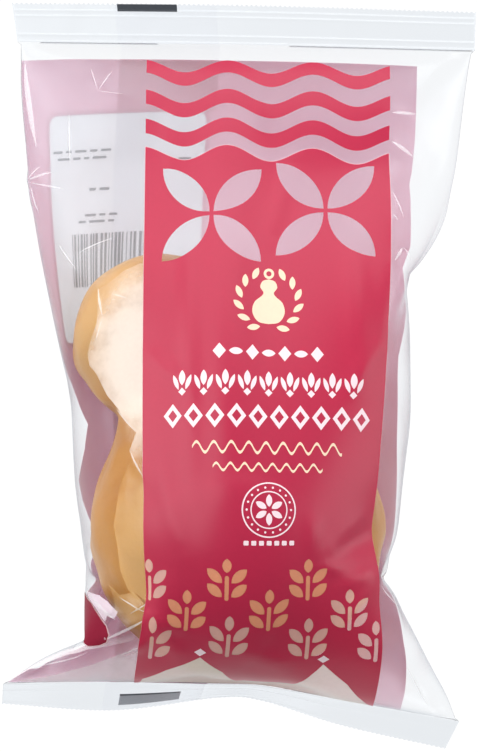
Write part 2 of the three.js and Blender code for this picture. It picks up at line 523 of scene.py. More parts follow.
@dataclass
class Cheese:
    """One pear-shaped scamorza: a thick body, a short neck and a small head leaning to the left.

    The same rounded forms that shape its mesh keep the film off it.
    """

    body: Rounded = Rounded((-0.4, -38.2, 32.2), (37.0, 37.2, 31.6))
    neck: Rounded = Rounded((-13.8, -7.0, 26.5), (17.4, 17.4, 17.4), 7.0)
    head: Rounded = Rounded((-19.4, 8.9, 23.3), (22.5, 22.5, 22.2), 0.8)
    farthest: float = 120.0  # no part of it is farther from its neck
    dimple_depth: float = 0.5
    dimple_width: float = 16.0
    finish: SmokedRind = SmokedRind()

    def distance(self, points: np.ndarray) -> tuple[np.ndarray, np.ndarray]:
        """How far points lie from the cheese.

        Args:
            points: places in mm.

        Returns:
            The distance, negative inside, and the direction away from the cheese.
        """
        distance, away = self.body.distance(points)
        for form in (self.neck, self.head):
            other, from_other = form.distance(points)
            share = np.clip(0.5 + 0.5 * (other - distance) / form.blend, 0, 1)
            distance = other * (1 - share) + distance * share - form.blend * share * (1 - share)
            away = unit(from_other * (1 - share)[..., None] + away * share[..., None])
        return distance, away

    def build(self) -> None:
        """Shapes a sphere into the cheese, by halving the way out from its neck to its skin."""
        bm = bmesh.new()
        bmesh.ops.create_icosphere(bm, subdivisions=6, radius=1.0)
        waist = np.array(self.neck.centre)
        rays = unit(np.array([v.co[:] for v in bm.verts]))
        near, far = np.zeros(len(rays)), np.full(len(rays), self.farthest)
        for _ in range(24):
            middle = (near + far) / 2
            outside = self.distance(waist + rays * middle[:, None])[0] > 0
            far = np.where(outside, middle, far)
            near = np.where(outside, near, middle)
        points = waist + rays * near[:, None]
        away = self.distance(points)[1]
        dimples = np.clip(1 + ripples(points, self.dimple_width, 5), 0, 2)
        points -= away * (self.dimple_depth * dimples)[:, None]
        move_to(bm, points)
        bmesh.ops.recalc_face_normals(bm, faces=bm.faces)
        make_piece("cheese", bm, self.finish)


# ---------------------------------------------------------------- the film


@dataclass(frozen=True)
class Station:
    """Where the bag's outline or height changes, in mm.

    left and right are points on the side folds, fold is their height, front and back are the heights
    of the front's crest and the back's lowest line, and lean moves the crest to the left.
    """

    left: Place
    right: Place
    fold: float
    front: float
    back: float
    lean: float = 0.0


class Face(Enum):
    """The two faces of the flat tube of film."""

    FRONT = 1
    BACK = -1


@dataclass(frozen=True)
class Guide:
    """How a straight line up the flat film runs on the pack: its X for each Y, and how hard it is drawn."""

    flat_x: float
    face: Face
    line: tuple[Place, ...]
    pull: float = 0.1


@dataclass(frozen=True)
class Crease:
    """A sharp fold that stands up, or below 0 sinks, along a line of the front, at X and Y of the pack."""

    start: Place
    end: Place
    height: float
    width: float
    glint: float = 0.0  # the width of the painted white glint along it


@dataclass
class FilmBag:
    """The tube of film between the two seals, as rings of points from the bottom seal to the top one.

    A ring starts at the left fold, crosses the front to the right fold and comes back over the back.
    """

    cheese: Cheese
    flat_width: float = 116.0
    flat_run: float = 192.0
    coarse_step: float = 4.0
    table: float = 0.35  # the fin and the label lie between the film and the table
    clearance: float = 0.4  # between film and cheese
    seal_reach: float = 0.11  # how far into the bag a seal's waves are felt, as a share of its length
    fullness: float = 0.5  # how far the section turns from a lens at the seals to half an ellipse
    rounding: float = 0.5  # how soon it does so: less is sooner
    shear: float = 0.4  # how firmly the diagonals of the net's cells are kept
    crease_taper: float = 0.6  # how bluntly a crease ends: less is blunter
    finish: ClearFilm = ClearFilm()
    bottom_seal: tuple[Point, ...] = (
        (-59.0, -76.9, 20), (-31.6, -76.4, 19), (-5.4, -76.8, 25), (6.0, -77.2, 26), (25.6, -81.0, 20),
        (55.1, -86.4, 17),
    )
    top_seal: tuple[Point, ...] = ((-55.4, 83.6, 18), (2.0, 82.8, 19.5), (59.0, 81.4, 18))
    stations: tuple[Station, ...] = (
        Station((-59.0, -76.9), (55.1, -86.4), 20, 20, 20),
        Station((-49.0, -70.5), (50.0, -76.5), 22, 35, 12),
        Station((-39.0, -63.0), (44.5, -66.0), 25, 51, 6),
        Station((-38.8, -52.0), (38.5, -52.5), 28, 63, 0),
        Station((-40.0, -38.0), (39.8, -39.0), 30, 65.5, 0),
        Station((-41.3, -22.0), (41.2, -22.0), 30, 64, 0, 0.02),
        Station((-42.2, -7.0), (42.2, -7.0), 28, 56, 0, 0.1),
        Station((-45.5, 9.0), (42.5, 9.0), 25, 48, 0.5, 0.1),
        Station((-49.0, 24.0), (43.6, 25.0), 23, 42, 3, 0.1),
        Station((-52.2, 39.0), (51.0, 38.5), 21, 35, 6, 0.05),
        Station((-54.0, 52.0), (55.4, 51.0), 20, 30, 9),
        Station((-55.0, 67.0), (57.0, 66.0), 19, 26, 12),
        Station((-55.4, 83.6), (59.0, 81.4), 18, 18, 18),
    )
    # The outline of the pack as (Y, X), from the bottom up. The film never passes it.
    left_outline: tuple[Place, ...] = (
        (-78, -59.1), (-75.9, -58.6), (-70.9, -50.4), (-67.5, -42.0), (-65.9, -38.2), (-60.9, -38.4),
        (-45.9, -39.1), (-35.9, -39.9), (-25.9, -41.2), (-8.0, -41.8), (-0.9, -42.9), (9.1, -45.4),
        (29.1, -50.1), (39.1, -52.1), (49.1, -54.1), (64.1, -55.1), (83.6, -55.6),
    )
    right_outline: tuple[Place, ...] = (
        (-88, 55.3), (-80.9, 52.9), (-70.9, 47.1), (-60.9, 42.1), (-56.4, 40.1), (-53.9, 38.4), (-50.1, 35.3),
        (-45.4, 37.2), (-42.1, 39.3), (-35.9, 39.9), (-25.9, 40.9), (-10.9, 42.9), (14.1, 42.6), (21.0, 41.9),
        (25.5, 42.4), (29.1, 45.6), (39.1, 51.1), (49.1, 55.1), (64.1, 56.6), (81.4, 59.1),
    )
    # The panel's two side edges, and the right edge of the back's print.
    guides: tuple[Guide, ...] = (
        Guide(-25.0, Face.FRONT, (
            (-75.6, -26.4), (-63.6, -24.1), (-58.9, -21.6), (-53.6, -22.3), (-43.6, -22.5), (-32.4, -23.1),
            (-20.9, -23.9), (11.6, -23.4), (79.0, -22.9),
        )),
        Guide(36.0, Face.FRONT, (
            (-82.0, 33.1), (-74.0, 34.9), (-66.6, 36.3), (-57.4, 34.5), (-49.9, 35.3), (-47.6, 33.9),
            (-45.4, 34.9), (-38.4, 32.2), (-25.9, 34.6), (-16.6, 35.3), (-1.4, 36.6), (13.9, 37.6),
            (36.6, 38.1), (48.0, 37.9), (57.0, 36.6), (61.4, 37.6), (77.6, 37.9),
        )),
        Guide(43.0, Face.BACK, (
            (-83.4, 43.6), (-77.0, 43.9), (-66.0, 42.1), (-56.4, 40.1), (-50.0, 35.3), (-44.0, 38.0),
            (-38.0, 39.6), (16.0, 40.2), (46.0, 42.6), (64.0, 44.1), (77.0, 44.1),
        ), 0.06),
    )
    creases: tuple[Crease, ...] = (
        # the upper left, over the label and beside it
        Crease((-53.6, 79.0), (-50.6, 57.0), 0.9, 2.2, 1.6),
        Crease((-52.4, 49.0), (-46.6, 50.9), 0.7, 1.3, 0.55),
        Crease((-52.6, 49.0), (-49.6, 52.4), 0.5, 1.2, 0.4),
        Crease((-52.4, 48.4), (-43.6, 46.6), 0.5, 1.3, 0.35),
        Crease((-52.2, 47.8), (-49.9, 40.6), 0.6, 1.3, 0.45),
        Crease((-42.4, 66.0), (-42.1, 52.4), 0.35, 1.2, 0.25),
        Crease((-35.1, 71.1), (-37.1, 77.0), 0.5, 1.6, 0.2),
        Crease((-35.1, 71.1), (-31.6, 76.2), 0.6, 1.8, 0.25),
        Crease((-35.1, 71.1), (-28.4, 70.2), 0.5, 1.6, 0.15),
        Crease((-40.0, 30.6), (-31.1, 34.4), 0.5, 1.4, 0.3),
        Crease((-45.0, 33.0), (-40.0, 26.0), 0.5, 1.4, 0.3),
        # over the head and down to the waist
        Crease((-35.0, 22.0), (-33.8, 14.5), 0.8, 1.3, 0.55),
        Crease((-33.8, 14.5), (-35.6, 8.0), 0.5, 1.3, 0.35),
        Crease((-31.6, 20.4), (-27.4, 19.2), 0.4, 1.2, 0.3),
        Crease((-30.4, -8.0), (-25.4, -14.0), 0.6, 1.4, 0.4),
        Crease((-27.0, -18.4), (-23.4, -25.4), 0.6, 1.4, 0.45),
        Crease((-27.0, -19.0), (-29.6, -36.0), 0.5, 1.6),
        # the lower left, round the pinch
        Crease((-29.8, -54.6), (-23.0, -58.6), 0.6, 1.3, 0.45),
        Crease((-27.0, -58.8), (-22.4, -55.8), 0.5, 1.2, 0.35),
        Crease((-35.4, -66.2), (-22.4, -59.6), 0.9, 1.6, 0.7),
        Crease((-31.1, -69.6), (-22.6, -66.0), 0.6, 1.4, 0.45),
        Crease((-37.2, -53.8), (-30.4, -60.4), 0.7, 1.5, 1.5),
        Crease((-50.0, -72.6), (-37.0, -68.2), 0.7, 1.6, 0.35),
        # the right side
        Crease((38.0, 58.6), (43.4, 54.6), 0.8, 1.6, 1.0),
        Crease((38.1, 65.7), (44.2, 65.3), 0.6, 1.4, 0.8),
        Crease((38.1, 46.1), (41.0, 39.2), 0.5, 1.4, 0.35),
        Crease((38.4, 40.2), (39.4, 38.8), 0.4, 1.2, 0.3),
        Crease((40.6, 31.9), (38.6, 28.6), 0.7, 1.4, 0.7),
        Crease((40.8, 32.0), (42.4, 28.8), 0.6, 1.4, 0.4),
        Crease((43.4, 26.6), (54.8, 45.4), 0.8, 1.8, 0.4),
        Crease((34.9, -49.4), (37.9, -44.9), 0.6, 1.2, 0.7),
        Crease((35.4, -50.1), (39.4, -48.4), 0.5, 1.2, 0.4),
        Crease((35.0, -51.6), (39.0, -57.0), 0.6, 1.3, 0.5),
        Crease((41.6, -72.0), (47.0, -82.0), 0.6, 1.6, 0.3),
        # in the panel: the dent at the lower right, the folds over the seal and the long soft folds
        Crease((18.4, -34.0), (18.6, -46.0), 0.5, 2.2),
        Crease((18.6, -46.0), (33.0, -32.6), 0.35, 2.2),
        Crease((22.6, -43.6), (33.4, -39.6), -0.8, 4.0),
        Crease((20.0, -46.6), (25.6, -48.4), 0.4, 1.6),
        Crease((34.0, -47.8), (25.6, -52.4), 0.5, 2.0),
        Crease((34.0, -49.6), (27.0, -60.0), 0.5, 2.2),
        Crease((-22.0, -59.4), (-12.0, -63.0), 0.5, 2.0),
        Crease((-21.6, -60.6), (-14.0, -70.0), 0.5, 2.2),
        Crease((-4.0, 70.0), (-2.5, -26.0), 1.9, 7.0),
        Crease((-12.5, 40.0), (-12.0, -30.0), 0.6, 2.6),
        Crease((28.0, 36.0), (31.0, -10.0), 0.9, 3.5),
        Crease((13.0, 54.0), (8.0, 34.0), 0.5, 2.2),
        Crease((-18.0, 64.0), (-15.0, 42.0), 0.5, 2.2),
        Crease((5.0, 72.0), (6.6, 62.0), 0.4, 1.8),
        Crease((-20.0, -20.0), (-14.0, -44.0), 0.5, 2.6),
        Crease((-23.0, 6.0), (-12.0, -4.0), 0.4, 2.0),
        Crease((36.0, 10.0), (26.0, -6.0), 0.5, 2.4),
        Crease((0.0, -68.0), (14.0, -72.0), 0.6, 2.4),
    )
    net: np.ndarray = field(default_factory=lambda: np.zeros((1, 1, 3)))
    ends: list[np.ndarray] = field(default_factory=list)  # the seals' inner edges, finely read
    across: float = 0.0  # the net's spacing round a ring
    along: float = 0.0  # and from ring to ring

    def __post_init__(self) -> None:
        """Lays the first, coarse net over a smooth pillow."""
        columns = 4 * round(2 * self.flat_width / self.coarse_step / 4)
        rows = round(self.flat_run / self.coarse_step) + 1
        self.across = 2 * self.flat_width / columns
        self.along = self.flat_run / (rows - 1)
        self.net = np.array([self._ring(t, columns) for t in np.linspace(0, 1, rows)])
        half = self.flat_width / 2
        folds = (Guide(-half, Face.FRONT, self.left_outline), Guide(half, Face.FRONT, self.right_outline))
        self.guides = (*self.guides, *folds)
        self.ends = [curve_through(seal, np.linspace(0, 1, 80)) for seal in (self.bottom_seal, self.top_seal)]

    def _ring(self, t: float, columns: int) -> np.ndarray:
        """One ring of the smooth pillow that the film starts from.

        Args:
            t: how far up the bag it lies, from 0 to 1.
            columns: how many points it has.

        Returns:
            Its points, evenly spread.
        """
        spread = -np.cos(np.linspace(0, math.pi, 200))
        share = (spread + 1)[:, None] / 2
        profiles = (
            [(*s.left, s.fold) for s in self.stations],
            [(*s.right, s.fold) for s in self.stations],
            [(s.front - s.fold, s.fold - s.back, s.lean) for s in self.stations],
        )
        left, right, (front, back, lean) = (curve_through(rows, np.array([t]))[0] for rows in profiles)
        middle = left * (1 - share) + right * share
        ends = ((self.bottom_seal, self.stations[0], t), (self.top_seal, self.stations[-1], 1 - t))
        for seal, end, distance in ends:
            line = np.array([*end.left, end.fold]) * (1 - share) + np.array([*end.right, end.fold]) * share
            felt = math.exp(-((distance / self.seal_reach) ** 2))
            middle = middle + felt * (curve_through(seal, share[:, 0]) - line)
        power = 1 - self.fullness * math.sin(math.pi * t) ** self.rounding
        section = np.clip(1 - spread**2, 0, None) ** power * (1 - lean * spread)
        faces = []
        for side, height in ((1, front), (-1, back)):
            face = middle.copy()
            face[:, 2] = np.maximum(face[:, 2] + side * max(height, 0) * section, self.table)
            faces.append(evenly(face, columns // 2 + 1))
        return np.vstack([faces[0], faces[1][1:-1][::-1]])

    @staticmethod
    def _keep(first: np.ndarray, second: np.ndarray, rest: float, firmness: float = 1.0) -> None:
        """Moves pairs of points towards their flat distance.

        Args:
            first: the first points, as a view of the net.
            second: the second ones, as another.
            rest: their flat distance.
            firmness: the share of the way that they move.
        """
        gap = second - first
        length = np.sqrt(np.einsum("...k,...k->...", gap, gap))[..., None]
        move = gap * (0.5 * firmness * (1 - rest / np.maximum(length, 1e-9)))
        first += move
        second -= move

    def _columns_apart(self) -> None:
        """Keeps the spacing round each ring."""
        self._keep(self.net[:, 0::2], self.net[:, 1::2], self.across)
        self._keep(self.net[:, 1:-1:2], self.net[:, 2::2], self.across)
        self._keep(self.net[:, -1:], self.net[:, :1], self.across)

    def _row_pairs(self) -> Iterable[tuple[np.ndarray, np.ndarray]]:
        """The rings in neighbouring pairs. No ring is in two pairs of one batch."""
        for start in (0, 1):
            yield self.net[start:-1:2], self.net[start + 1 :: 2]

    def _rows_apart(self) -> None:
        """Keeps the spacing from ring to ring."""
        for lower, upper in self._row_pairs():
            self._keep(lower, upper, self.along)

    def _square(self, firmness: float) -> None:
        """Keeps both diagonals of each cell, so that the sheet doesn't shear.

        Args:
            firmness: how firmly it does.
        """
        rest = math.hypot(self.across, self.along)
        for lower, upper in self._row_pairs():
            self._keep(lower[:, :-1], upper[:, 1:], rest, firmness)
            self._keep(lower[:, -1:], upper[:, :1], rest, firmness)
            self._keep(lower[:, 1:], upper[:, :-1], rest, firmness)
            self._keep(lower[:, :1], upper[:, -1:], rest, firmness)

    def normals(self) -> np.ndarray:
        """The outward direction at each point of the net."""
        round_ring = np.roll(self.net, -1, 1) - np.roll(self.net, 1, 1)
        return unit(np.cross(round_ring, np.gradient(self.net, axis=0)))

    def _hold_off(self) -> None:
        """Keeps the film off the cheese and the table, and inside the pack's outline."""
        distance, away = self.cheese.distance(self.net)
        inside = distance < self.clearance
        self.net[inside] += (self.clearance - distance[inside])[:, None] * away[inside]
        np.maximum(self.net[..., 2], self.table, out=self.net[..., 2])
        y = self.net[1:-1, :, 1]
        limits = [np.interp(y, *zip(*outline)) for outline in (self.left_outline, self.right_outline)]
        self.net[1:-1, :, 0] = np.clip(self.net[1:-1, :, 0], *limits)
        limits = [np.interp(self.net[..., 0], end[:, 0], end[:, 1]) for end in self.ends]
        self.net[..., 1] = np.clip(self.net[..., 1], *limits)
        np.maximum.accumulate(self.net[..., 1], axis=0, out=self.net[..., 1])

    def _follow(self, firmness: float) -> None:
        """Draws lines of the film to where they run on the pack.

        Args:
            firmness: how firmly it does.
        """
        columns = self.net.shape[1]
        for guide in self.guides:
            turn = guide.face.value * (guide.flat_x + self.flat_width / 2) / self.across
            column = round(turn)
            aside = guide.face.value * (column - turn) * self.across
            line = self.net[1:-1, column % columns]
            goal = np.interp(line[:, 1], *zip(*guide.line)) + aside
            line[:, 0] += firmness * guide.pull * (goal - line[:, 0])

    def relax(self, rounds: int, gas: float, weight: float, stiffness: float, firmness: float) -> None:
        """Lets the film settle.

        Args:
            rounds: how many times every rule is applied.
            gas: how far the gas inside pushes each point out in a round, in mm.
            weight: how far each point sinks in a round, in mm.
            stiffness: the share of its bend that each point loses in a round.
            firmness: how firmly the guides are followed.
        """
        bottom, top = self.net[0].copy(), self.net[-1].copy()
        for _ in range(rounds):
            inner = self.net[1:-1]
            inner += gas * self.normals()[1:-1]
            inner[..., 2] -= weight
            flatter = 0.5 * (np.roll(self.net, -1, 1) + np.roll(self.net, 1, 1))[1:-1]
            flatter += 0.5 * (self.net[2:] + self.net[:-2]) - 2 * inner
            inner += stiffness * flatter
            self._square(self.shear)
            self._columns_apart()
            self._rows_apart()
            self._hold_off()
            self._follow(firmness)
            self.net[0], self.net[-1] = bottom, top

    def ruffle(self, height: float, seed: int) -> None:
        """Moves each point a little, so that slack film has somewhere to start to buckle."""
        draw = np.random.default_rng(seed)
        self.net[1:-1] += draw.normal(0, height, self.net[1:-1].shape)

    def refine(self) -> None:
        """Makes the net twice as fine, with cubic curves between its points."""
        net = self.net
        between = (-np.roll(net, 1, 1) + 9 * net + 9 * np.roll(net, -1, 1) - np.roll(net, -2, 1)) / 16
        net = np.stack([net, between], axis=2).reshape(len(net), -1, 3)
        padded = np.concatenate([2 * net[:1] - net[1:2], net, 2 * net[-1:] - net[-2:-1]])
        between = (-padded[:-3] + 9 * padded[1:-2] + 9 * padded[2:-1] - padded[3:]) / 16
        self.net = np.empty((2 * len(net) - 1, *net.shape[1:]))
        self.net[0::2], self.net[1::2] = net, between
        self.across /= 2
        self.along /= 2

    def settle(self) -> None:
        """Relaxes the film on three nets, each twice as fine as the last, and raises its creases."""
        self.ruffle(0.3, seed=3)
        self.relax(rounds=300, gas=0.012, weight=0.003, stiffness=0.05, firmness=1.0)
        self.refine()
        self.ruffle(0.05, seed=4)
        self.relax(rounds=300, gas=0.006, weight=0.002, stiffness=0.04, firmness=1.0)
        self.refine()
        self.relax(rounds=90, gas=0.002, weight=0.001, stiffness=0.03, firmness=0.5)
        self._soften(up=3.5, round_bag=1.5)
        self._crease()
        log.info("film: %d by %d points", *self.net.shape[:2])

    def _soften(self, up: float, round_bag: float) -> None:
        """Takes the finest waves out of the film.

        Args:
            up: how far it is evened out along the bag, in mm.
            round_bag: how far round it.
        """
        for _ in range(round(2 * (up / self.along) ** 2)):
            self.net[1:-1] = 0.5 * self.net[1:-1] + 0.25 * (self.net[:-2] + self.net[2:])
        for _ in range(round(2 * (round_bag / self.across) ** 2)):
            inner = self.net[1:-1]
            self.net[1:-1] = 0.5 * inner + 0.25 * (np.roll(inner, 1, 1) + np.roll(inner, -1, 1))
        self._hold_off()

    def _crease(self) -> None:
        """Raises the creases out of the settled front."""
        front = self.net[:, : self.net.shape[1] // 2 + 1]
        normals = self.normals()[:, : front.shape[1]]
        plan = front[..., :2].copy()
        for crease in self.creases:
            start, way = np.array(crease.start), np.array(crease.end) - np.array(crease.start)
            along = (plan - start) @ way / (way @ way)
            nearest = start + np.clip(along, 0, 1)[..., None] * way
            distance = np.linalg.norm(plan - nearest, axis=-1)
            taper = np.sin(math.pi * np.clip(along, 0.04, 0.96)) ** self.crease_taper
            rise = crease.height * taper * np.exp(-((distance / crease.width) ** 2))
            front += rise[..., None] * normals

    def place(self, flat: np.ndarray, face: Face) -> np.ndarray:
        """Lays flat points on the film.

        Args:
            flat: for each point, how far it lies to the right of the flat bag's middle, up from the bottom
                seal, and outside the film, in mm.
            face: which face of the bag.

        Returns:
            The points in space.
        """
        rows, columns = self.net.shape[:2]
        column = face.value * (self.flat_width / 2 + flat[:, 0]) / self.across
        row = np.clip(flat[:, 1] / self.along, 0, rows - 1.000001)
        j, i = np.floor(column + 1e-7).astype(int), row.astype(int)
        f, g = (column - j)[:, None], (row - i)[:, None]
        j, after = j % columns, (j + 1) % columns
        normals = self.normals()
        lower = ((i, j, (1 - f) * (1 - g)), (i, after, f * (1 - g)))
        upper = ((i + 1, j, (1 - f) * g), (i + 1, after, f * g))
        return sum((self.net[a, b] + flat[:, 2:] * normals[a, b]) * share for a, b, share in lower + upper)

    def flat_at(self, x: float, y: float, face: Face = Face.FRONT) -> Place:
        """Finds the place on the flat film that lies at an X and Y of the pack.

        It starts from the nearest point of the net and steps towards the place over the cells.

        Args:
            x: the place's X in mm.
            y: its Y.
            face: which face of the bag.

        Returns:
            Its distance to the right of the flat bag's middle, and up from the bottom seal.
        """
        columns = self.net.shape[1]
        turns = np.arange(columns // 2 + 1) * face.value % columns
        plan = self.net[:, turns, :2]
        goal = np.array([x, y])
        nearest = np.argmin(np.linalg.norm(plan - goal, axis=-1))
        spot = np.array(np.unravel_index(nearest, plan.shape[:2]), float)
        last = np.array(plan.shape[:2]) - 1
        for _ in range(4):
            i, j = np.minimum(spot, last - 1).astype(int)
            up, over = spot - (i, j)
            near, right, above, beyond = plan[i, j], plan[i, j + 1], plan[i + 1, j], plan[i + 1, j + 1]
            here = (near * (1 - over) + right * over) * (1 - up) + (above * (1 - over) + beyond * over) * up
            across = (right - near) * (1 - up) + (beyond - above) * up
            along = (above - near) * (1 - over) + (beyond - right) * over
            step = np.linalg.lstsq(np.array([across, along]).T, goal - here, rcond=None)[0]
            spot = np.clip(spot + np.clip(step[::-1], -1.5, 1.5), 0, last)
        row, column = (float(k) for k in spot)
        return column * self.across - self.flat_width / 2, row * self.along

    def flat_line(self, places: Iterable[Place], face: Face = Face.FRONT) -> Loop:
        """Finds where a line of X and Y of the pack runs on the flat film."""
        return [self.flat_at(x, y, face) for x, y in places]

    def build(self) -> None:
        """Turns the net into the closed bag and hides the plain solid that stood for it."""
        rows, columns = self.net.shape[:2]
        bm = bmesh.new()
        bmesh.ops.create_grid(bm, x_segments=columns, y_segments=rows - 1, size=1.0)
        for vert in bm.verts:
            column = round((vert.co.x + 1) / 2 * columns) % columns
            row = round((vert.co.y + 1) / 2 * (rows - 1))
            vert.co = self.net[row, column]
        bmesh.ops.remove_doubles(bm, verts=bm.verts, dist=1e-4)
        bmesh.ops.recalc_face_normals(bm, faces=bm.faces)
        film = make_piece("film", bm, self.finish)
        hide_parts("bag")


# ---------------------------------------------------------------- drawing on the film


def circle(radius: float, points: int = 32, centre: Place = (0.0, 0.0)) -> Loop:
    """A round outline.

    Args:
        radius: its radius.
        points: how many points it has.
        centre: its centre.

    Returns:
        The outline, anticlockwise.
    """
    x, y = centre
    angles = [TURN * k / points for k in range(points)]
    return [(x + radius * math.cos(angle), y + radius * math.sin(angle)) for angle in angles]


def box_loop(left: float, bottom: float, right: float, top: float, corner: float = 0.0) -> Loop:
    """A rectangle, with rounded corners where corner is more than 0.

    Args:
        left: its left side.
        bottom: its lower side.
        right: its right side.
        top: its upper side.
        corner: the radius of its corners.

    Returns:
        The outline, anticlockwise.
    """
    if corner <= 0:
        return [(left, bottom), (right, bottom), (right, top), (left, top)]
    loop: Loop = []
    sides = ((right - corner, top - corner), (left + corner, top - corner))
    sides += ((left + corner, bottom + corner), (right - corner, bottom + corner))
    for quarter, (x, y) in enumerate(sides):
        for k in range(7):
            angle = (quarter + k / 6) * math.pi / 2
            loop.append((x + corner * math.cos(angle), y + corner * math.sin(angle)))
    return loop


def diamond(half_width: float, half_height: float, y: float = 0.0) -> Loop:
    """A diamond round (0, y)."""
    return [(half_width, y), (0.0, y + half_height), (-half_width, y), (0.0, y - half_height)]


def leaf(start: Place, end: Place, width: float, points: int = 9) -> Loop:
    """A pointed leaf: two arcs between its tips.

    Args:
        start: one tip.
        end: the other tip.
        width: its greatest width.
        points: how many points each side has.

    Returns:
        The outline.
    """
    (x0, y0), (x1, y1) = start, end
    length = math.hypot(x1 - x0, y1 - y0)
    along = ((x1 - x0) / length, (y1 - y0) / length)
    sagitta = width / 2
    radius = (length**2 / 4 + sagitta**2) / (2 * sagitta)
    loop: Loop = []
    for side in (1, -1):
        for k in range(points):
            t = k / points if side > 0 else 1 - k / points
            offset = (t - 0.5) * length
            bulge = side * (math.sqrt(radius**2 - offset**2) - (radius - sagitta))
            x = x0 + along[0] * t * length - along[1] * bulge
            y = y0 + along[1] * t * length + along[0] * bulge
            loop.append((x, y))
    return loop


def moved(loops: Iterable[Loop], aside: float, up: float, stretch: float = 1.0) -> list[Loop]:
    """Moves outlines drawn round (0, 0).

    Args:
        loops: the outlines.
        aside: how far to the right.
        up: how far up.
        stretch: how many times higher they become.

    Returns:
        The moved outlines.
    """
    return [[(x + aside, y * stretch + up) for x, y in loop] for loop in loops]


def grown(loop: Loop, distance: float) -> Loop:
    """Moves an outline outwards by a small distance, or inwards below 0.

    Args:
        loop: the outline.
        distance: how far it moves.

    Returns:
        The moved outline, in the same order.
    """
    points = np.array(loop)
    ahead, behind = np.roll(points, -1, 0), np.roll(points, 1, 0)
    area = float(np.sum(points[:, 0] * ahead[:, 1] - ahead[:, 0] * points[:, 1]))
    out_a, out_b = unit(ahead - points), unit(points - behind)
    normal_a = np.stack([out_a[:, 1], -out_a[:, 0]], 1)
    normal_b = np.stack([out_b[:, 1], -out_b[:, 0]], 1)
    bisector = unit(normal_a + normal_b)
    miter = np.clip(np.sum(bisector * normal_a, axis=1), 0.5, 1)[:, None]
    return [tuple(p) for p in points + math.copysign(distance, distance * area) * bisector / miter]


@dataclass
class Drawing:
    """Outlines drawn on the flat film, which become one thin printed piece.

    Where outlines lie inside each other the inner one is a hole, as in any filled drawing.
    """

    bag: FilmBag
    face: Face = Face.FRONT
    loops: list[Loop] = field(default_factory=list)

    def add(self, *loops: Loop) -> None:
        """Adds outlines."""
        self.loops.extend(loops)

    def widened(self, distance: float, openings: float) -> Drawing:
        """The same drawing with its printed parts wider all round.

        Args:
            distance: how much wider on each outer side.
            openings: how much wider round its openings.

        Returns:
            The new drawing.
        """
        wider = Drawing(self.bag, self.face)
        for loop in self.loops:
            inside = sum(self._holds(other, loop[0]) for other in self.loops if other is not loop)
            wider.add(grown(loop, -openings if inside % 2 else distance))
        return wider

    @staticmethod
    def _holds(loop: Loop, point: Place) -> bool:
        """Whether a point lies inside an outline.

        Args:
            loop: the outline.
            point: the point.

        Returns:
            True where it does.
        """
        x, y = point
        held = False
        for (x0, y0), (x1, y1) in zip(loop, loop[1:] + loop[:1]):
            if (y0 > y) != (y1 > y) and x < x0 + (y - y0) * (x1 - x0) / (y1 - y0):
                held = not held
        return held

    def _filled(self) -> bmesh.types.BMesh:
        """Fills the outlines with faces.

        Returns:
            The flat mesh, in mm.
        """
        curve = bpy.data.curves.new("drawing", "CURVE")
        curve.dimensions = "2D"
        curve.fill_mode = "BOTH"
        for loop in self.loops:
            spline = curve.splines.new("POLY")
            spline.points.add(len(loop) - 1)
            for point, (x, y) in zip(spline.points, loop):
                point.co = (x, y, 0, 1)
            spline.use_cyclic_u = True
        drawn = bpy.data.objects.new("drawing", curve)
        bpy.context.collection.objects.link(drawn)
        mesh = bpy.data.meshes.new_from_object(drawn.evaluated_get(bpy.context.evaluated_depsgraph_get()))
        bm = bmesh.new()
        bm.from_mesh(mesh)
        bpy.data.objects.remove(drawn)
        bpy.data.curves.remove(curve)
        bpy.data.meshes.remove(mesh)
        bmesh.ops.remove_doubles(bm, verts=bm.verts, dist=1e-4)
        return bm

    def _cut(self, bm: bmesh.types.BMesh) -> None:
        """Cuts the drawing along the lines of the net, so that it bends where the film does.

        Args:
            bm: the flat drawing.
        """
        places = np.array([v.co[:] for v in bm.verts])
        low, high = places.min(axis=0), places.max(axis=0)
        nets = ((self.bag.across, -self.bag.flat_width / 2), (self.bag.along, 0.0))
        for axis, (spacing, origin) in enumerate(nets):
            normal = np.eye(3)[axis]
            first = math.ceil((low[axis] - origin) / spacing)
            last = math.floor((high[axis] - origin) / spacing)
            for k in range(first, last + 1):
                where = normal * (origin + k * spacing)
                everything = [*bm.verts, *bm.edges, *bm.faces]
                bmesh.ops.bisect_plane(bm, geom=everything, dist=1e-5, plane_co=where, plane_no=normal)

    def build(
        self, name: str, finish: Finish, slot: str, lift: float, thickness: float = 0.0
    ) -> bpy.types.Object:
        """Lays the drawing on the film.

        Args:
            name: the piece's name.
            finish: its ink, film or paper.
            slot: a slot name, which is not used.
            lift: how far outside the film it lies, or inside it below 0.
            thickness: how thick it is, if that is more than a skin.

        Returns:
            The printed piece.
        """
        bm = self._filled()
        self._cut(bm)
        if thickness:
            extruded = bmesh.ops.extrude_face_region(bm, geom=bm.faces[:], use_keep_orig=True)["geom"]
            raised = [v for v in extruded if isinstance(v, bmesh.types.BMVert)]
            bmesh.ops.translate(bm, vec=(0, 0, thickness), verts=raised)
        flat = np.array([v.co[:] for v in bm.verts]) + (0, 0, lift)
        move_to(bm, self.bag.place(flat, self.face))
        bmesh.ops.recalc_face_normals(bm, faces=bm.faces)
        return make_piece(name, bm, finish)


# ---------------------------------------------------------------- the front's print


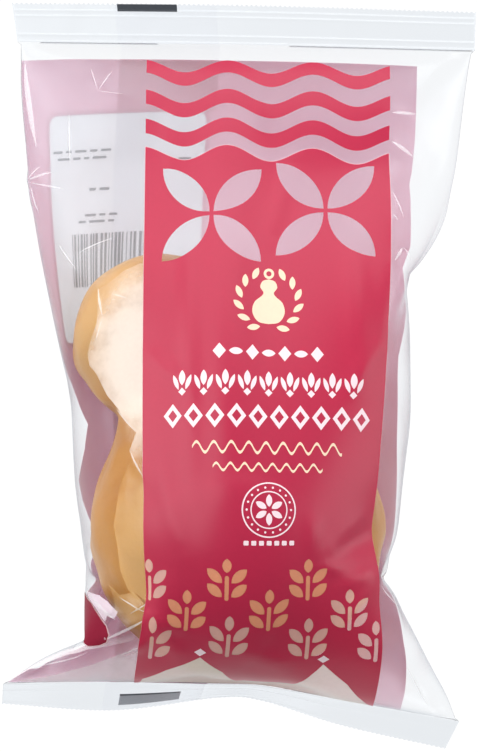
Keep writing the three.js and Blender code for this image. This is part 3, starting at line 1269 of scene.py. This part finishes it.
@dataclass
class FrontPanel:
    """The crimson panel down the front, with its waves, rosettes, ornament rows and sprigs.

    Places are the X and Y of the pack in mm. What stands at a place is drawn flat, at its true size.
    """

    bag: FilmBag
    left: float = -25.0
    right: float = 36.0
    middle_x: float = 6.0  # X of the pack where the waves' heights are measured
    wave_length: float = 21.4
    wave_height: float = 3.8
    wave_crest_x: float = -25.9  # one crest, across the flat film
    stripe_tops: tuple[float, ...] = (78.5, 71.3, 64.1)  # Y of each stripe's crests
    stripe_width: float = 3.8
    field_top: float = 57.0  # Y of the crests where the solid field starts
    rosettes: tuple[Place, ...] = ((-6.8, 40.4), (21.5, 41.1))
    petal: float = 11.75
    petal_gap: float = 1.0
    sprig_height: float = 10.3
    warm_sprigs: tuple[Place, ...] = ((-3.0, -50.3), (17.0, -50.3), (-12.9, -58.0), (7.4, -58.0))
    rosy_sprigs: tuple[Place, ...] = (
        (-22.0, -50.3), (35.4, -50.3), (27.4, -58.0), (-21.6, -65.4), (-2.6, -64.8), (17.0, -65.2),
        (34.0, -66.0),
    )
    foot: tuple[Place, ...] = ((-24.0, -75.2), (-18.1, -72.9), (-9.6, -69.6), (-4.1, -73.4), (-1.0, -75.6))
    second_foot: tuple[Place, ...] = (
        (15.0, -76.0), (18.1, -73.9), (20.9, -71.4), (26.9, -76.6), (31.0, -81.0),
    )
    valley: tuple[Place, ...] = ((1.5, 13.0), (14.5, 13.0))  # between the peaks, on the flat film
    foot_run: float = 1.0  # how far up the flat film the field's lower corners lie
    peak_sheen_run: float = 0.6  # and those of the painted sheen below it
    sign: Place = (7.3, 18.4)
    chain: Place = (7.3, 5.6)
    tulips: Place = (7.3, -2.0)
    lozenges: Place = (7.3, -10.1)
    wide_ripple: Place = (7.3, -17.8)
    narrow_ripple: Place = (7.3, -22.6)
    roundel: Place = (7.4, -33.0)
    squares: Place = (7.4, -41.2)
    tip_over_peak: float = 1.3
    outline: float = 0.17  # how far the white underprint shows round the crimson field
    overhang: float = 0.12  # how far the crimson reaches past its white along the stripes and openings
    white_lift: float = 0.06
    ink_lift: float = 0.13
    motif_lift: float = 0.18

    def _wave(self, x: float) -> float:
        """Height of a wave over its trough."""
        return self.wave_height * (0.5 + 0.5 * math.cos(TURN * (x - self.wave_crest_x) / self.wave_length))

    def _wavy(self, crest: float) -> Loop:
        """A wavy line across the panel.

        Args:
            crest: how far up the flat film its crests reach.

        Returns:
            The line, from left to right.
        """
        steps = 60
        xs = [self.left + (self.right - self.left) * k / steps for k in range(steps + 1)]
        return [(x, crest - self.wave_height + self._wave(x)) for x in xs]

    def _stripes(self) -> list[Loop]:
        """The wavy stripes."""
        crests = [self.bag.flat_at(self.middle_x, top)[1] for top in self.stripe_tops]
        return [self._wavy(crest) + self._wavy(crest - self.stripe_width)[::-1] for crest in crests]

    def _foot(self) -> Loop:
        """The field's lower edge, from left to right, on the flat film."""
        peaks = [*self.bag.flat_line(self.foot), *self.valley, *self.bag.flat_line(self.second_foot)]
        return [(self.left, self.foot_run), *peaks, (self.right, self.foot_run)]

    def _field(self) -> Loop:
        """The solid field: wavy at the top, with two open peaks at the bottom."""
        return self._foot() + self._wavy(self.bag.flat_at(self.middle_x, self.field_top)[1])[::-1]

    def _peaks(self) -> Loop:
        """The clear film between the field's lower edge and the seal."""
        return [(self.left, self.peak_sheen_run), *self._foot()[1:-1], (self.right, self.peak_sheen_run)]

    def _at(self, place: Place, loops: Iterable[Loop], most: float = 1.7) -> list[Loop]:
        """Moves outlines drawn round (0, 0) to a place, drawn out where the film slopes away.

        Args:
            place: the X and Y of the pack.
            loops: the outlines.
            most: how many times longer they may become.

        Returns:
            The moved outlines.
        """
        x, y = place
        reach = 4.0
        low, high = (self.bag.flat_at(x, y + side * reach)[1] for side in (-1, 1))
        stretch = min(max((high - low) / (2 * reach), 1.0), most)
        return moved(loops, *self.bag.flat_at(x, y), stretch)

    def _rosette(self) -> list[Loop]:
        """Four petals, each between two quarter arcs in its own square."""
        near, far = self.petal_gap / 2, self.petal_gap / 2 + self.petal
        arc = [math.pi / 2 * k / 12 for k in range(12)]
        petal = [(near + self.petal * math.sin(a), far - self.petal * math.cos(a)) for a in arc]
        petal += [(far - self.petal * math.sin(a), near + self.petal * math.cos(a)) for a in arc]
        return [[(sx * x, sy * y) for x, y in petal] for sx in (1, -1) for sy in (1, -1)]

    def _sprig(self) -> list[Loop]:
        """A stem with a bud on top and two pairs of leaves, drawn 10 high and then sized."""
        size = self.sprig_height / 10
        loops = [box_loop(-0.5, 0.0, 0.5, 6.0, 0.45), leaf((0, 6.7), (0, 10.0), 2.2)]
        for side in (1, -1):
            for base, tip in ((0.9, 4.0), (4.3, 7.6)):
                loops.append(leaf((side * 1.1, base), (side * 4.7, tip), 2.4))
        return [[(x * size, (y - 5) * size) for x, y in loop] for loop in loops]

    def _sprigs(self, places: Iterable[Place]) -> list[Loop]:
        """The outlines of some sprigs, without the leaves that the panel's edges would cut."""
        loops = [loop for place in places for loop in self._at(place, self._sprig())]
        return [loop for loop in loops if self.left < min(loop)[0] and max(loop)[0] < self.right]

    @staticmethod
    def _row(count: int, pitch: float, *motifs: list[Loop]) -> list[Loop]:
        """Repeats motifs in turn in a centred row.

        Args:
            count: how many there are.
            pitch: the distance from one to the next.
            *motifs: the motifs, each drawn round (0, 0).

        Returns:
            Their outlines.
        """
        loops: list[Loop] = []
        for k in range(count):
            loops += moved(motifs[k % len(motifs)], (k - (count - 1) / 2) * pitch, 0.0)
        return loops

    @staticmethod
    def _ripple(width: float, height: float, length: float, stroke: float) -> Loop:
        """A thin wavy line.

        Args:
            width: how wide it is.
            height: from its troughs to its crests.
            length: from crest to crest.
            stroke: how thick its line is.

        Returns:
            Its outline.
        """
        steps = max(24, round(width / length * 14))
        runs = [width * k / steps for k in range(steps + 1)]
        spine = [(-width / 2 + run, height / 2 * math.sin(TURN * run / length)) for run in runs]
        return [(x, y + stroke / 2) for x, y in spine] + [(x, y - stroke / 2) for x, y in spine[::-1]]

    @staticmethod
    def _pear_sign() -> list[Loop]:
        """A pear-shaped cheese on its loop of cord, between two curved branches of leaves."""
        profile = (
            (0, -5.6), (2.6, -5.1), (4.0, -2.9), (3.5, -0.4), (1.7, 1.3), (1.3, 2.2), (2.1, 3.5), (1.5, 5.0),
            (0, 5.5),
        )
        side = [(float(x), float(y)) for x, y in curve_through(profile, np.linspace(0, 1, 40))]
        pear = side + [(-x, y) for x, y in side[-2:0:-1]]
        cord = (0, 6.9)
        loops = [pear, circle(1.3, centre=cord), circle(0.65, centre=cord)]
        branch, length, width = 6.6, 3.3, 1.5
        lowest, pitch, outward = -72, 25, 62  # degrees
        for turn in (1, -1):
            for k in range(6):
                angle = math.radians(lowest + pitch * k)
                lean = angle + math.radians(outward)
                x, y = branch * math.cos(angle), branch * math.sin(angle)
                tip = (turn * (x + length * math.cos(lean)), y + length * math.sin(lean))
                loops.append(leaf((turn * x, y), tip, width))
        return loops

    @staticmethod
    def _roundel() -> list[Loop]:
        """A thin double ring with a six-petal flower and a circle of dots."""
        loops = [circle(radius, 72) for radius in (6.6, 6.25, 4.5, 4.2)]
        dots, dot, petals = 5.38, 0.28, (0.7, 3.7)
        for k in range(18):
            angle = TURN * k / 18
            loops.append(circle(dot, 10, (dots * math.cos(angle), dots * math.sin(angle))))
        for k in range(6):
            angle = TURN * (k + 0.5) / 6
            start, end = ((reach * math.cos(angle), reach * math.sin(angle)) for reach in petals)
            loops.append(leaf(start, end, 1.5))
        return loops

    def _build_ink(self) -> None:
        """Makes the crimson, and the white behind it that shows as a thin pale outline and from inside."""
        stripes = Drawing(self.bag, loops=self._stripes())
        solid = Drawing(self.bag, loops=[self._field()])
        solid.add(*self._sprigs(self.warm_sprigs), *self._sprigs(self.rosy_sprigs))
        for place in self.rosettes:
            solid.add(*self._at(place, self._rosette(), most=1.02))
        ink = Drawing(self.bag, loops=stripes.loops + solid.loops)
        ink.build("front_crimson", CRIMSON_AND_SHEEN, "crimson_ink", self.ink_lift)
        backing = stripes.widened(-self.overhang, 0.0)
        backing.add(*solid.widened(self.outline, -self.overhang).loops)
        backing.build("front_underprint", WHITE, "pale_ink", self.white_lift)

    def _build_motifs(self) -> None:
        """Makes the ornament rows over the crimson."""
        tulip = [
            leaf((0, -0.7), (0, 3.1), 1.6),
            leaf((-0.9, -1.7), (-2.2, 1.9), 1.1),
            leaf((0.9, -1.7), (2.2, 1.9), 1.1),
            diamond(0.95, 0.95, -2.2),
        ]
        lozenge = [diamond(2.3, 3.0), diamond(1.15, 1.5)]
        square = [box_loop(-0.6, -0.55, 0.6, 0.55, 0.2)]
        warm, pale = Drawing(self.bag), Drawing(self.bag)
        warm.add(*self._at(self.sign, self._pear_sign()))
        warm.add(*self._at(self.wide_ripple, [self._ripple(37.0, 2.6, 4.2, 0.75)]))
        warm.add(*self._at(self.narrow_ripple, [self._ripple(27.0, 1.8, 3.4, 0.65)]))
        chain = self._row(7, 4.0, [diamond(1.6, 1.9)], [leaf((-1.7, 0), (1.7, 0), 1.7)])
        pale.add(*self._at(self.chain, chain))
        pale.add(*self._at(self.tulips, self._row(9, 5.25, tulip)))
        pale.add(*self._at(self.lozenges, self._row(10, 5.2, lozenge)))
        pale.add(*self._at(self.roundel, self._roundel()))
        pale.add(*self._at(self.squares, self._row(7, 1.85, square)))
        for x, y in (self.foot[2], self.second_foot[2]):
            pale.add(*self._at((x, y + self.tip_over_peak), [diamond(1.5, 0.9)]))
        warm.build("front_peach_motifs", PEACH, "pale_ink", self.motif_lift)
        pale.build("front_white_motifs", PINKISH_WHITE, "pale_ink", self.motif_lift)

    def _build_painted_light(self) -> None:
        """Makes the painted light over the clear parts: the sprigs, and the peaks over the seal."""
        painted_lights = (
            ("warm_sprig_painted_light", self._sprigs(self.warm_sprigs), WARM_PAINTED_LIGHT),
            ("rosy_sprig_painted_light", self._sprigs(self.rosy_sprigs), ROSY_PAINTED_LIGHT),
            ("peak_painted_sheen", [self._peaks()], PALE_PAINTED_SHEEN),
        )
        lift = (self.white_lift + self.ink_lift) / 2
        for name, loops, painted_light in painted_lights:
            Drawing(self.bag, loops=loops).build(name, painted_light, "clear_film", lift)

    def build(self) -> None:
        """Makes the ink, the ornament and the painted light over the clear parts."""
        self._build_ink()
        self._build_motifs()
        self._build_painted_light()


# ---------------------------------------------------------------- the back's print and label


@dataclass(frozen=True)
class Dashes:
    """A centred row of dashes on the label: its place as X and Y of the pack, and its sizes."""

    x: float
    y: float
    widths: tuple[float, ...]
    height: float = 0.6


@dataclass
class BackPanel:
    """The back's print, crimson outside and pale inside, with an open window over the label."""

    bag: FilmBag
    right: float = 43.0
    top: float = 186.0  # up the flat film
    bottom: float = 0.5
    farthest: float = 57.6  # how far aside the print may run on the flat film
    window_left: float = -49.0
    window_right: float = -9.0
    window_x: float = -30.0  # X of the pack where the window's ends are measured
    window_top_y: float = 66.0
    window_bottom_y: float = 9.0
    corner: float = 2.4
    # The print's left edge, as X and Y of the pack, from the bottom up, and where it runs over the fold.
    left_edge: tuple[Place, ...] = (
        (-57.0, -76.0), (-52.5, -73.2), (-47.1, -71.0), (-42.5, -69.1), (-38.2, -67.4), (-38.2, -62.0),
        (-38.3, -55.4), (-36.9, -48.4), (-36.9, -37.1), (-39.1, -30.9), (-40.0, -25.9), (-38.6, -18.4),
        (-37.8, -12.1), (-40.4, -5.9), (-43.2, 1.6), (-45.1, 9.1), (-49.8, 29.1), (-53.8, 49.1),
        (-54.6, 64.0), (-55.0, 76.0),
    )
    # Its right edge above the waist. Below, it is straight.
    right_edge: tuple[Place, ...] = (
        (39.9, 5.0), (41.2, 11.0), (41.8, 16.6), (41.4, 22.9), (41.0, 27.1), (41.8, 29.4), (42.9, 32.4),
        (43.0, 44.1), (42.7, 48.1), (43.3, 51.1), (44.0, 57.9), (44.4, 66.6), (44.8, 77.6),
    )
    straight_below: float = 4.0  # how far below the right edge's lowest place it is straight again
    pale_lift: float = 0.04
    crimson_lift: float = 0.09
    # The corner of the print that comes round the left fold to the front.
    flap: tuple[Place, ...] = (
        (-38.5, -53.4), (-36.7, -56.3), (-34.6, -59.6), (-32.9, -62.0), (-32.3, -64.1), (-32.9, -65.9),
        (-34.6, -66.7), (-37.4, -67.0), (-38.5, -62.0),
    )
    flap_outline: float = 0.3  # the pale line along its edge
    flap_white_lift: float = 0.06
    flap_ink_lift: float = 0.12
    label_overlap: float = 1.0
    label_lift: float = 0.24
    label_thickness: float = 0.1
    print_over_label: float = 0.04
    print_under_label: float = 0.03
    dash_rows: tuple[Dashes, ...] = (
        Dashes(-39.0, 56.4, (2.6, 1.6, 3.0, 2.0, 2.6)),
        Dashes(-39.0, 54.6, (3.4, 2.0, 1.4, 3.6)),
        Dashes(-34.6, 47.0, (1.8, 2.6), 0.7),
        Dashes(-34.2, 40.6, (3.0, 1.6, 2.2)),
        Dashes(-35.4, 38.9, (2.0, 4.2, 1.6)),
        Dashes(-16.0, 54.6, (2.4, 1.5, 3.0)),
        Dashes(-16.0, 40.0, (3.6, 2.4, 1.2)),
    )
    dash_gap: float = 0.9
    dash_corner: float = 0.2
    bars_from: Place = (-41.5, 29.0)  # X and Y of the pack
    bars_to: Place = (-22.0, 29.0)
    bars_down: float = 7.0
    bars_up: float = 6.5
    bar_widths: tuple[float, ...] = (0.22, 0.36, 0.6)
    bar_gaps: tuple[float, ...] = (0.35, 0.5, 0.8)

    def window_run(self) -> Place:
        """How far up the flat film the window's lower and upper ends lie."""
        ends = ((self.window_x, y) for y in (self.window_bottom_y, self.window_top_y))
        low, high = (run for _, run in self.bag.flat_line(ends, Face.BACK))
        return low, high

    def _window(self, grow: float) -> Loop:
        """The window's outline, or the label's.

        Args:
            grow: how much larger it is than the window on each side.

        Returns:
            The outline.
        """
        low, high = self.window_run()
        sides = (self.window_left - grow, low - grow, self.window_right + grow, high + grow)
        return box_loop(*sides, self.corner)

    def _build_print(self) -> None:
        """Makes the two layers of ink: crimson, and white over it on the inner side."""
        left = self.bag.flat_line(self.left_edge, Face.BACK)
        left = [(max(x, -self.farthest), run) for x, run in left if self.bottom + 1 < run < self.top - 1]
        right = self.bag.flat_line(self.right_edge, Face.BACK)
        right = [(min(x, self.farthest), run) for x, run in right if run < self.top - 1]
        outline = [(left[0][0], self.bottom), *left, (left[-1][0], self.top), (right[-1][0], self.top)]
        outline += [*right[::-1], (self.right, right[0][1] - self.straight_below), (self.right, self.bottom)]
        drawing = Drawing(self.bag, Face.BACK, [outline, self._window(0.0)])
        drawing.build("back_underprint", PALE_UNDERPRINT, "pale_ink", self.pale_lift)
        drawing.build("back_crimson", BACK_CRIMSON, "crimson_ink", self.crimson_lift)

    def _build_flap(self) -> None:
        """Makes the corner of the print that comes round the left fold to the front, its crimson darkened as
        painted shade.
        """
        drawing = Drawing(self.bag, loops=[self.bag.flat_line(self.flap)])
        drawing.build("flap_crimson", CRIMSON_IN_PAINTED_SHADE, "crimson_ink", self.flap_ink_lift)
        wider = drawing.widened(self.flap_outline, 0.0)
        wider.build("flap_underprint", WHITE, "pale_ink", self.flap_white_lift)

    def _dashes(self) -> list[Loop]:
        """Rows of plain dashes."""
        loops: list[Loop] = []
        for row in self.dash_rows:
            middle, run = self.bag.flat_at(row.x, row.y, Face.BACK)
            start = middle - (sum(row.widths) + self.dash_gap * len(row.widths)) / 2
            low, high = run - row.height / 2, run + row.height / 2
            for width in row.widths:
                loops.append(box_loop(start, low, start + width, high, self.dash_corner))
                start += width + self.dash_gap
        return loops

    def _bars(self) -> list[Loop]:
        """A block of bars whose widths and gaps are drawn by chance."""
        draw = np.random.default_rng(11)
        (x, run), (end, _) = self.bag.flat_line((self.bars_from, self.bars_to), Face.BACK)
        loops: list[Loop] = []
        while x < end:
            width = draw.choice(self.bar_widths)
            loops.append(box_loop(x, run - self.bars_down, x + width, run + self.bars_up))
            x += width + draw.choice(self.bar_gaps)
        return loops

    def _build_label(self) -> None:
        """Makes the label, its print and what of the print shows through the paper."""
        sheet = Drawing(self.bag, Face.BACK, [self._window(self.label_overlap)])
        label = sheet.build("label", LABEL_PAPER, "label_paper", self.label_lift, self.label_thickness)
        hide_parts("back_label")
        marks = Drawing(self.bag, Face.BACK, self._dashes() + self._bars())
        over = self.label_lift + self.label_thickness + self.print_over_label
        marks.build("label_print", LABEL_BLACK, "dark_ink", over)
        under = self.label_lift - self.print_under_label
        marks.build("label_show_through", SHOWN_THROUGH_GREY, "label_paper", under)

    def build(self) -> None:
        """Makes the print, its corner on the front and the label."""
        self._build_print()
        self._build_flap()
        self._build_label()


@dataclass
class BackFin:
    """The long seal down the back, folded flat: a doubled strip of film with the print running over it."""

    panel: BackPanel
    left: float = -31.6
    right: float = -6.6
    lift: float = 0.13
    print_over_fin: float = 0.04

    def build(self) -> None:
        """Makes the fin, and its print above and below the window."""
        bag = self.panel.bag
        strip = Drawing(bag, Face.BACK, [box_loop(self.left, 0.0, self.right, bag.flat_run)])
        strip.build("back_fin", FIN_FILM, "clear_film", self.lift)
        low, high = self.panel.window_run()
        ends = ((self.panel.bottom, low), (high, self.panel.top))
        ink = Drawing(bag, Face.BACK, [box_loop(self.left, start, self.right, end) for start, end in ends])
        ink.build("back_fin_print", BACK_CRIMSON, "crimson_ink", self.lift + self.print_over_fin)


# ---------------------------------------------------------------- the painted highlights on the film


@dataclass
class PaintedFilmHighlights:
    """Painted highlights on the clear film, over the cheese and on the lower left wing, and painted white
    glints along its creases.
    """

    bag: FilmBag
    lift: float = 0.03
    # Outlines as X and Y of the pack: over the cheese's head and body, and over the lower left wing.
    head: tuple[Place, ...] = (
        (-34.9, 21.6), (-31.6, 23.6), (-28.6, 26.1), (-22.9, 28.6), (-22.9, -23.4), (-23.9, -23.4),
        (-25.6, -21.4), (-27.1, -18.4), (-26.1, -15.9), (-25.4, -13.9), (-28.1, -10.9), (-30.1, -7.9),
        (-32.6, -4.9), (-33.9, -2.4), (-35.4, 0.6), (-37.1, 2.6), (-37.6, 5.6), (-36.9, 8.4),
        (-35.4, 12.9), (-35.1, 17.9),
    )
    body: tuple[Place, ...] = (
        (-26.4, -19.9), (-29.6, -27.9), (-31.0, -36.9), (-30.1, -41.9), (-29.4, -47.9), (-27.4, -52.9),
        (-24.6, -55.9), (-22.0, -56.9), (-22.0, -23.4),
    )
    body_fold: tuple[Place, ...] = (
        (-32.4, -51.4), (-29.6, -54.2), (-26.1, -53.4), (-22.0, -58.6), (-23.1, -60.1), (-26.9, -63.6),
        (-30.6, -59.0),
    )
    tuck: tuple[Place, ...] = (
        (-38.0, -53.2), (-34.6, -54.4), (-32.5, -55.9), (-30.0, -58.4), (-30.6, -59.8), (-31.6, -59.9),
        (-32.5, -59.1), (-33.2, -60.9), (-33.9, -60.0), (-35.3, -57.8), (-36.7, -56.0),
    )
    upper_wing: tuple[Place, ...] = (
        (-56.2, -75.6), (-52.5, -73.4), (-47.1, -71.2), (-42.5, -69.3), (-37.5, -67.85), (-31.05, -66.6),
        (-26.1, -65.4), (-22.6, -61.8), (-22.2, -59.8), (-24.4, -62.0), (-28.0, -64.2), (-32.6, -65.5),
        (-35.9, -66.2), (-37.9, -66.5), (-43.0, -68.2), (-50.0, -71.5), (-54.8, -74.4),
    )
    lower_wing: tuple[Place, ...] = (
        (-55.6, -76.3), (-50.7, -75.5), (-41.8, -73.2), (-34.6, -71.0), (-28.2, -68.6), (-26.05, -67.2),
        (-24.2, -65.9), (-24.6, -69.6), (-25.6, -73.9), (-26.4, -76.4),
    )

    def build(self) -> None:
        """Makes the painted highlights and the painted glints along the creases."""
        parts = (
            ("head_painted_highlight", CREAM_PAINTED_HIGHLIGHT, (self.head,)),
            ("body_painted_highlight", GOLD_PAINTED_HIGHLIGHT, (self.body, self.body_fold)),
            ("tuck_painted_highlight", LILAC_PAINTED_HIGHLIGHT, (self.tuck,)),
            ("wing_painted_highlight", PALE_PAINTED_HIGHLIGHT, (self.upper_wing, self.lower_wing)),
        )
        for name, highlight, outlines in parts:
            drawing = Drawing(self.bag, loops=[self.bag.flat_line(outline) for outline in outlines])
            drawing.build(name, highlight, "clear_film", self.lift)
        lines = Drawing(self.bag)
        for crease in self.bag.creases:
            if crease.glint:
                lines.add(leaf(*self.bag.flat_line((crease.start, crease.end)), crease.glint))
        lines.build("painted_crease_glints", PAINTED_CREASE_GLINT, "clear_film", self.lift)


# ---------------------------------------------------------------- the seals


@dataclass(frozen=True)
class Patch:
    """A mark or a strip of film on a seal, with its ends and its sides as shares of the seal's."""

    name: str
    finish: Finish
    slot: str
    across: Place
    out: Place
    lift: float


@dataclass
class Seal:
    """One end of the bag, where both films are welded flat, ribbed along and cut in a fine zigzag."""

    bag: FilmBag
    name: str
    row: int  # the net's row that it grows from
    cut: tuple[Point, ...]  # its outer edge
    ribs: tuple[float, ...]  # where ribs run, from 0 at the bag to 1 at the cut
    patches: tuple[Patch, ...]
    rib_height: float = 0.16
    rib_width: float = 0.022
    tooth_pitch: float = 1.2
    tooth_depth: float = 0.045
    tooth_start: int = 16  # how close to the cut the teeth begin: more is closer
    thickness: float = 0.14
    rows: int = 44
    patch_grid: tuple[int, int] = (40, 16)

    def place(self, across: np.ndarray, out: np.ndarray, lift: float = 0.0) -> np.ndarray:
        """Finds points on the seal.

        Args:
            across: from 0 at its left end to 1 at its right end.
            out: from 0 at the bag to 1 at the cut.
            lift: height over the seal's middle, in mm.

        Returns:
            The points.
        """
        inner = self.bag.net[self.row, : self.bag.net.shape[1] // 2 + 1]
        edge = evenly(curve_through(self.cut, np.linspace(0, 1, 400)), len(inner))
        share = np.linspace(0, 1, len(inner))
        lines = (inner, edge, np.gradient(inner, axis=0))
        start, end, slope = (read_line(line, share, across) for line in lines)
        up = unit(np.cross(slope, end - start))
        up *= np.sign(up[:, 2:])
        ribs = sum(np.exp(-(((out - rib) / self.rib_width) ** 2)) for rib in self.ribs)
        return start + (end - start) * out[:, None] + up * (lift + self.rib_height * ribs)[:, None]

    @staticmethod
    def _grid(columns: int, rows: int) -> tuple[bmesh.types.BMesh, np.ndarray]:
        """Makes a flat grid.

        Args:
            columns: how many faces wide it is.
            rows: how many faces high.

        Returns:
            The grid, and where each of its points lies over 0..1 both ways.
        """
        bm = bmesh.new()
        bmesh.ops.create_grid(bm, x_segments=columns, y_segments=rows, size=1.0)
        return bm, (np.array([v.co[:2] for v in bm.verts]) + 1) / 2

    def build(self) -> None:
        """Makes the welded strip, and what lies on it."""
        columns = 2 * round(self.bag.flat_width / self.tooth_pitch)
        bm, spots = self._grid(columns, self.rows)
        tooth = np.round(spots[:, 0] * columns) % 2
        out = spots[:, 1] - self.tooth_depth * tooth * spots[:, 1] ** self.tooth_start
        move_to(bm, self.place(spots[:, 0], out))
        bmesh.ops.solidify(bm, geom=[*bm.verts, *bm.edges, *bm.faces], thickness=self.thickness)
        bmesh.ops.recalc_face_normals(bm, faces=bm.faces)
        make_piece(self.name, bm, WELDED_FILM)
        for patch in self.patches:
            bm, spots = self._grid(*self.patch_grid)
            sides = (patch.across, patch.out)
            shares = [low + (high - low) * spots[:, k] for k, (low, high) in enumerate(sides)]
            move_to(bm, self.place(*shares, patch.lift))
            make_piece(patch.name, bm, patch.finish)


@dataclass
class TopSeal(Seal):
    """The nearly straight seal at the top."""

    name: str = "top_seal"
    row: int = -1
    cut: tuple[Point, ...] = ((-56.8, 93.5, 17.0), (2.0, 92.9, 18.5), (59.4, 91.2, 17.0))
    ribs: tuple[float, ...] = (0.02, 0.19, 0.66, 0.8)
    patches: tuple[Patch, ...] = (
        Patch("top_eye_mark", MARK_BLACK, "dark_ink", (0.2255, 0.3546), (0.79, 0.975), 0.1),
        Patch("top_fin_end", FIN_END_FILM, "clear_film", (0.22, 0.44), (0.0, 0.99), -0.16),
    )


@dataclass
class BottomSeal(Seal):
    """The buckled seal at the bottom."""

    name: str = "bottom_seal"
    row: int = 0
    cut: tuple[Point, ...] = (
        (-59.4, -82.2, 13.0), (-31.6, -83.9, 14.0), (-5.4, -80.6, 17.0), (6.0, -81.4, 18.0),
        (25.6, -87.6, 14.5), (51.6, -93.5, 13.0),
    )
    ribs: tuple[float, ...] = (0.02, 0.3, 0.86)
    patches: tuple[Patch, ...] = (
        Patch("bottom_eye_mark", MARK_GREY, "dark_ink", (0.255, 0.39), (0.46, 0.82), -0.18),
        Patch("bottom_eye_mark_edge", MARK_EDGE, "dark_ink", (0.255, 0.39), (0.44, 0.5), -0.16),
        Patch("bottom_fin_end", FIN_END_FILM, "clear_film", (0.22, 0.44), (0.0, 0.99), -0.2),
    )


# ---------------------------------------------------------------- the studio


@dataclass(frozen=True)
class Softbox:
    """One soft light that faces the pack: where it hangs and its two sides, in metres."""

    name: str
    place: Point
    size: Place
    radiance: float  # how bright its face is, where the picture's white is 1

    def build(self) -> None:
        """Hangs the light."""
        lamp = bpy.data.lights.new(self.name, "AREA")
        lamp.shape = "RECTANGLE"
        lamp.size, lamp.size_y = self.size
        lamp.energy = self.radiance * math.pi * self.size[0] * self.size[1]
        light = bpy.data.objects.new(self.name, lamp)
        light.location = self.place
        pack = Vector((0, 0, 0.03))
        light.rotation_euler = (pack - light.location).to_track_quat("-Z", "Y").to_euler()
        bpy.context.collection.objects.link(light)


@dataclass
class Studio:
    """A white table under soft light, seen from straight above by a long lens."""

    view_width: float = 119.5  # across the picture, in mm
    view_height_over: float = 20.0
    distance: float = 3000.0
    sensor: float = 36.0
    clip_end: float = 20.0  # in metres
    table_half: float = 2.5  # in metres
    table_light: float = 1.02
    wall_light: float = 1.34
    zenith_light: float = 0.4
    wall_to_zenith: Place = (0.35, 0.95)  # over which upward share of a direction the one becomes the other
    foot_share: float = 0.2  # how much of its light the room keeps at the pack's bottom end
    foot_to_top: Place = (-0.8, 0.2)  # over which share along +Y it gets back to all of it
    softboxes: tuple[Softbox, ...] = (
        Softbox("left_softbox", (-0.58, 0.2, 0.68), (0.7, 0.9), 2.9),
        Softbox("top_softbox", (0.0, 0.75, 0.6), (1.0, 0.5), 2.5),
        Softbox("right_strip", (0.85, 0.05, 0.35), (0.35, 0.9), 2.2),
    )

    def camera(self) -> None:
        """Hangs the camera over the pack, with the pack's top seal up."""
        lens = bpy.data.cameras.new("camera")
        lens.sensor_fit = "HORIZONTAL"
        lens.sensor_width = self.sensor
        lens.lens = self.sensor * self.distance / self.view_width
        lens.clip_end = self.clip_end
        camera = bpy.data.objects.new("camera", lens)
        camera.location = Vector((0, 0, self.distance + self.view_height_over)) * MM
        bpy.context.collection.objects.link(camera)
        bpy.context.scene.camera = camera

    def table(self) -> None:
        """Lays the white light table, which is as bright as the picture's white."""
        bm = bmesh.new()
        bmesh.ops.create_grid(bm, x_segments=1, y_segments=1, size=self.table_half)
        mesh = bpy.data.meshes.new("table")
        bm.to_mesh(mesh)
        bm.free()
        top = bpy.data.materials.new("light_table")
        top.use_nodes = True
        looks = {
            "Base Color": linear("202020"),
            "Roughness": 0.9,
            "Specular IOR Level": 0.0,
            "Emission Color": linear("ffffff"),
            "Emission Strength": self.table_light,
        }
        wire(top.node_tree.nodes["Principled BSDF"], looks)
        mesh.materials.append(top)
        table = bpy.data.objects.new("table", mesh)
        bpy.context.collection.objects.link(table)

    def room(self) -> None:
        """Sets the room's even light: brightest at its walls, and dimmer past the pack's bottom end."""
        world = bpy.data.worlds.new("room")
        bpy.context.scene.world = world
        world.use_nodes = True
        tree = world.node_tree
        way = add_node(tree, "TexCoord", {}, "Generated")
        axes = add_node(tree, "SeparateXYZ", {"Vector": way}).node.outputs
        low, high = self.wall_to_zenith
        upward = {"Value": axes["Z"], "From Min": low, "From Max": high}
        height = add_node(tree, "MapRange", upward | {"To Min": self.wall_light, "To Max": self.zenith_light})
        low, high = self.foot_to_top
        sideward = {"Value": axes["Y"], "From Min": low, "From Max": high}
        side = add_node(tree, "MapRange", sideward | {"To Min": self.foot_share, "To Max": 1.0})
        light = add_node(tree, "Math", {0: height, 1: side}, operation="MULTIPLY")
        wire(tree.nodes["Background"], {"Strength": light, "Color": linear("ffffff")})

    def build(self) -> None:
        """Sets up the camera, the table and the lights."""
        self.camera()
        self.table()
        self.room()
        for softbox in self.softboxes:
            softbox.build()
        bpy.context.scene.view_settings.view_transform = "Standard"


def main() -> None:
    """Builds the pack and its studio."""
    logging.basicConfig(level=logging.INFO, format="%(message)s")
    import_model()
    Studio().build()
    cheese = Cheese()
    cheese.build()
    bag = FilmBag(cheese)
    bag.settle()
    bag.build()
    FrontPanel(bag).build()
    back = BackPanel(bag)
    back.build()
    BackFin(back).build()
    PaintedFilmHighlights(bag).build()
    TopSeal(bag).build()
    BottomSeal(bag).build()


if __name__ == "__main__":
    main()
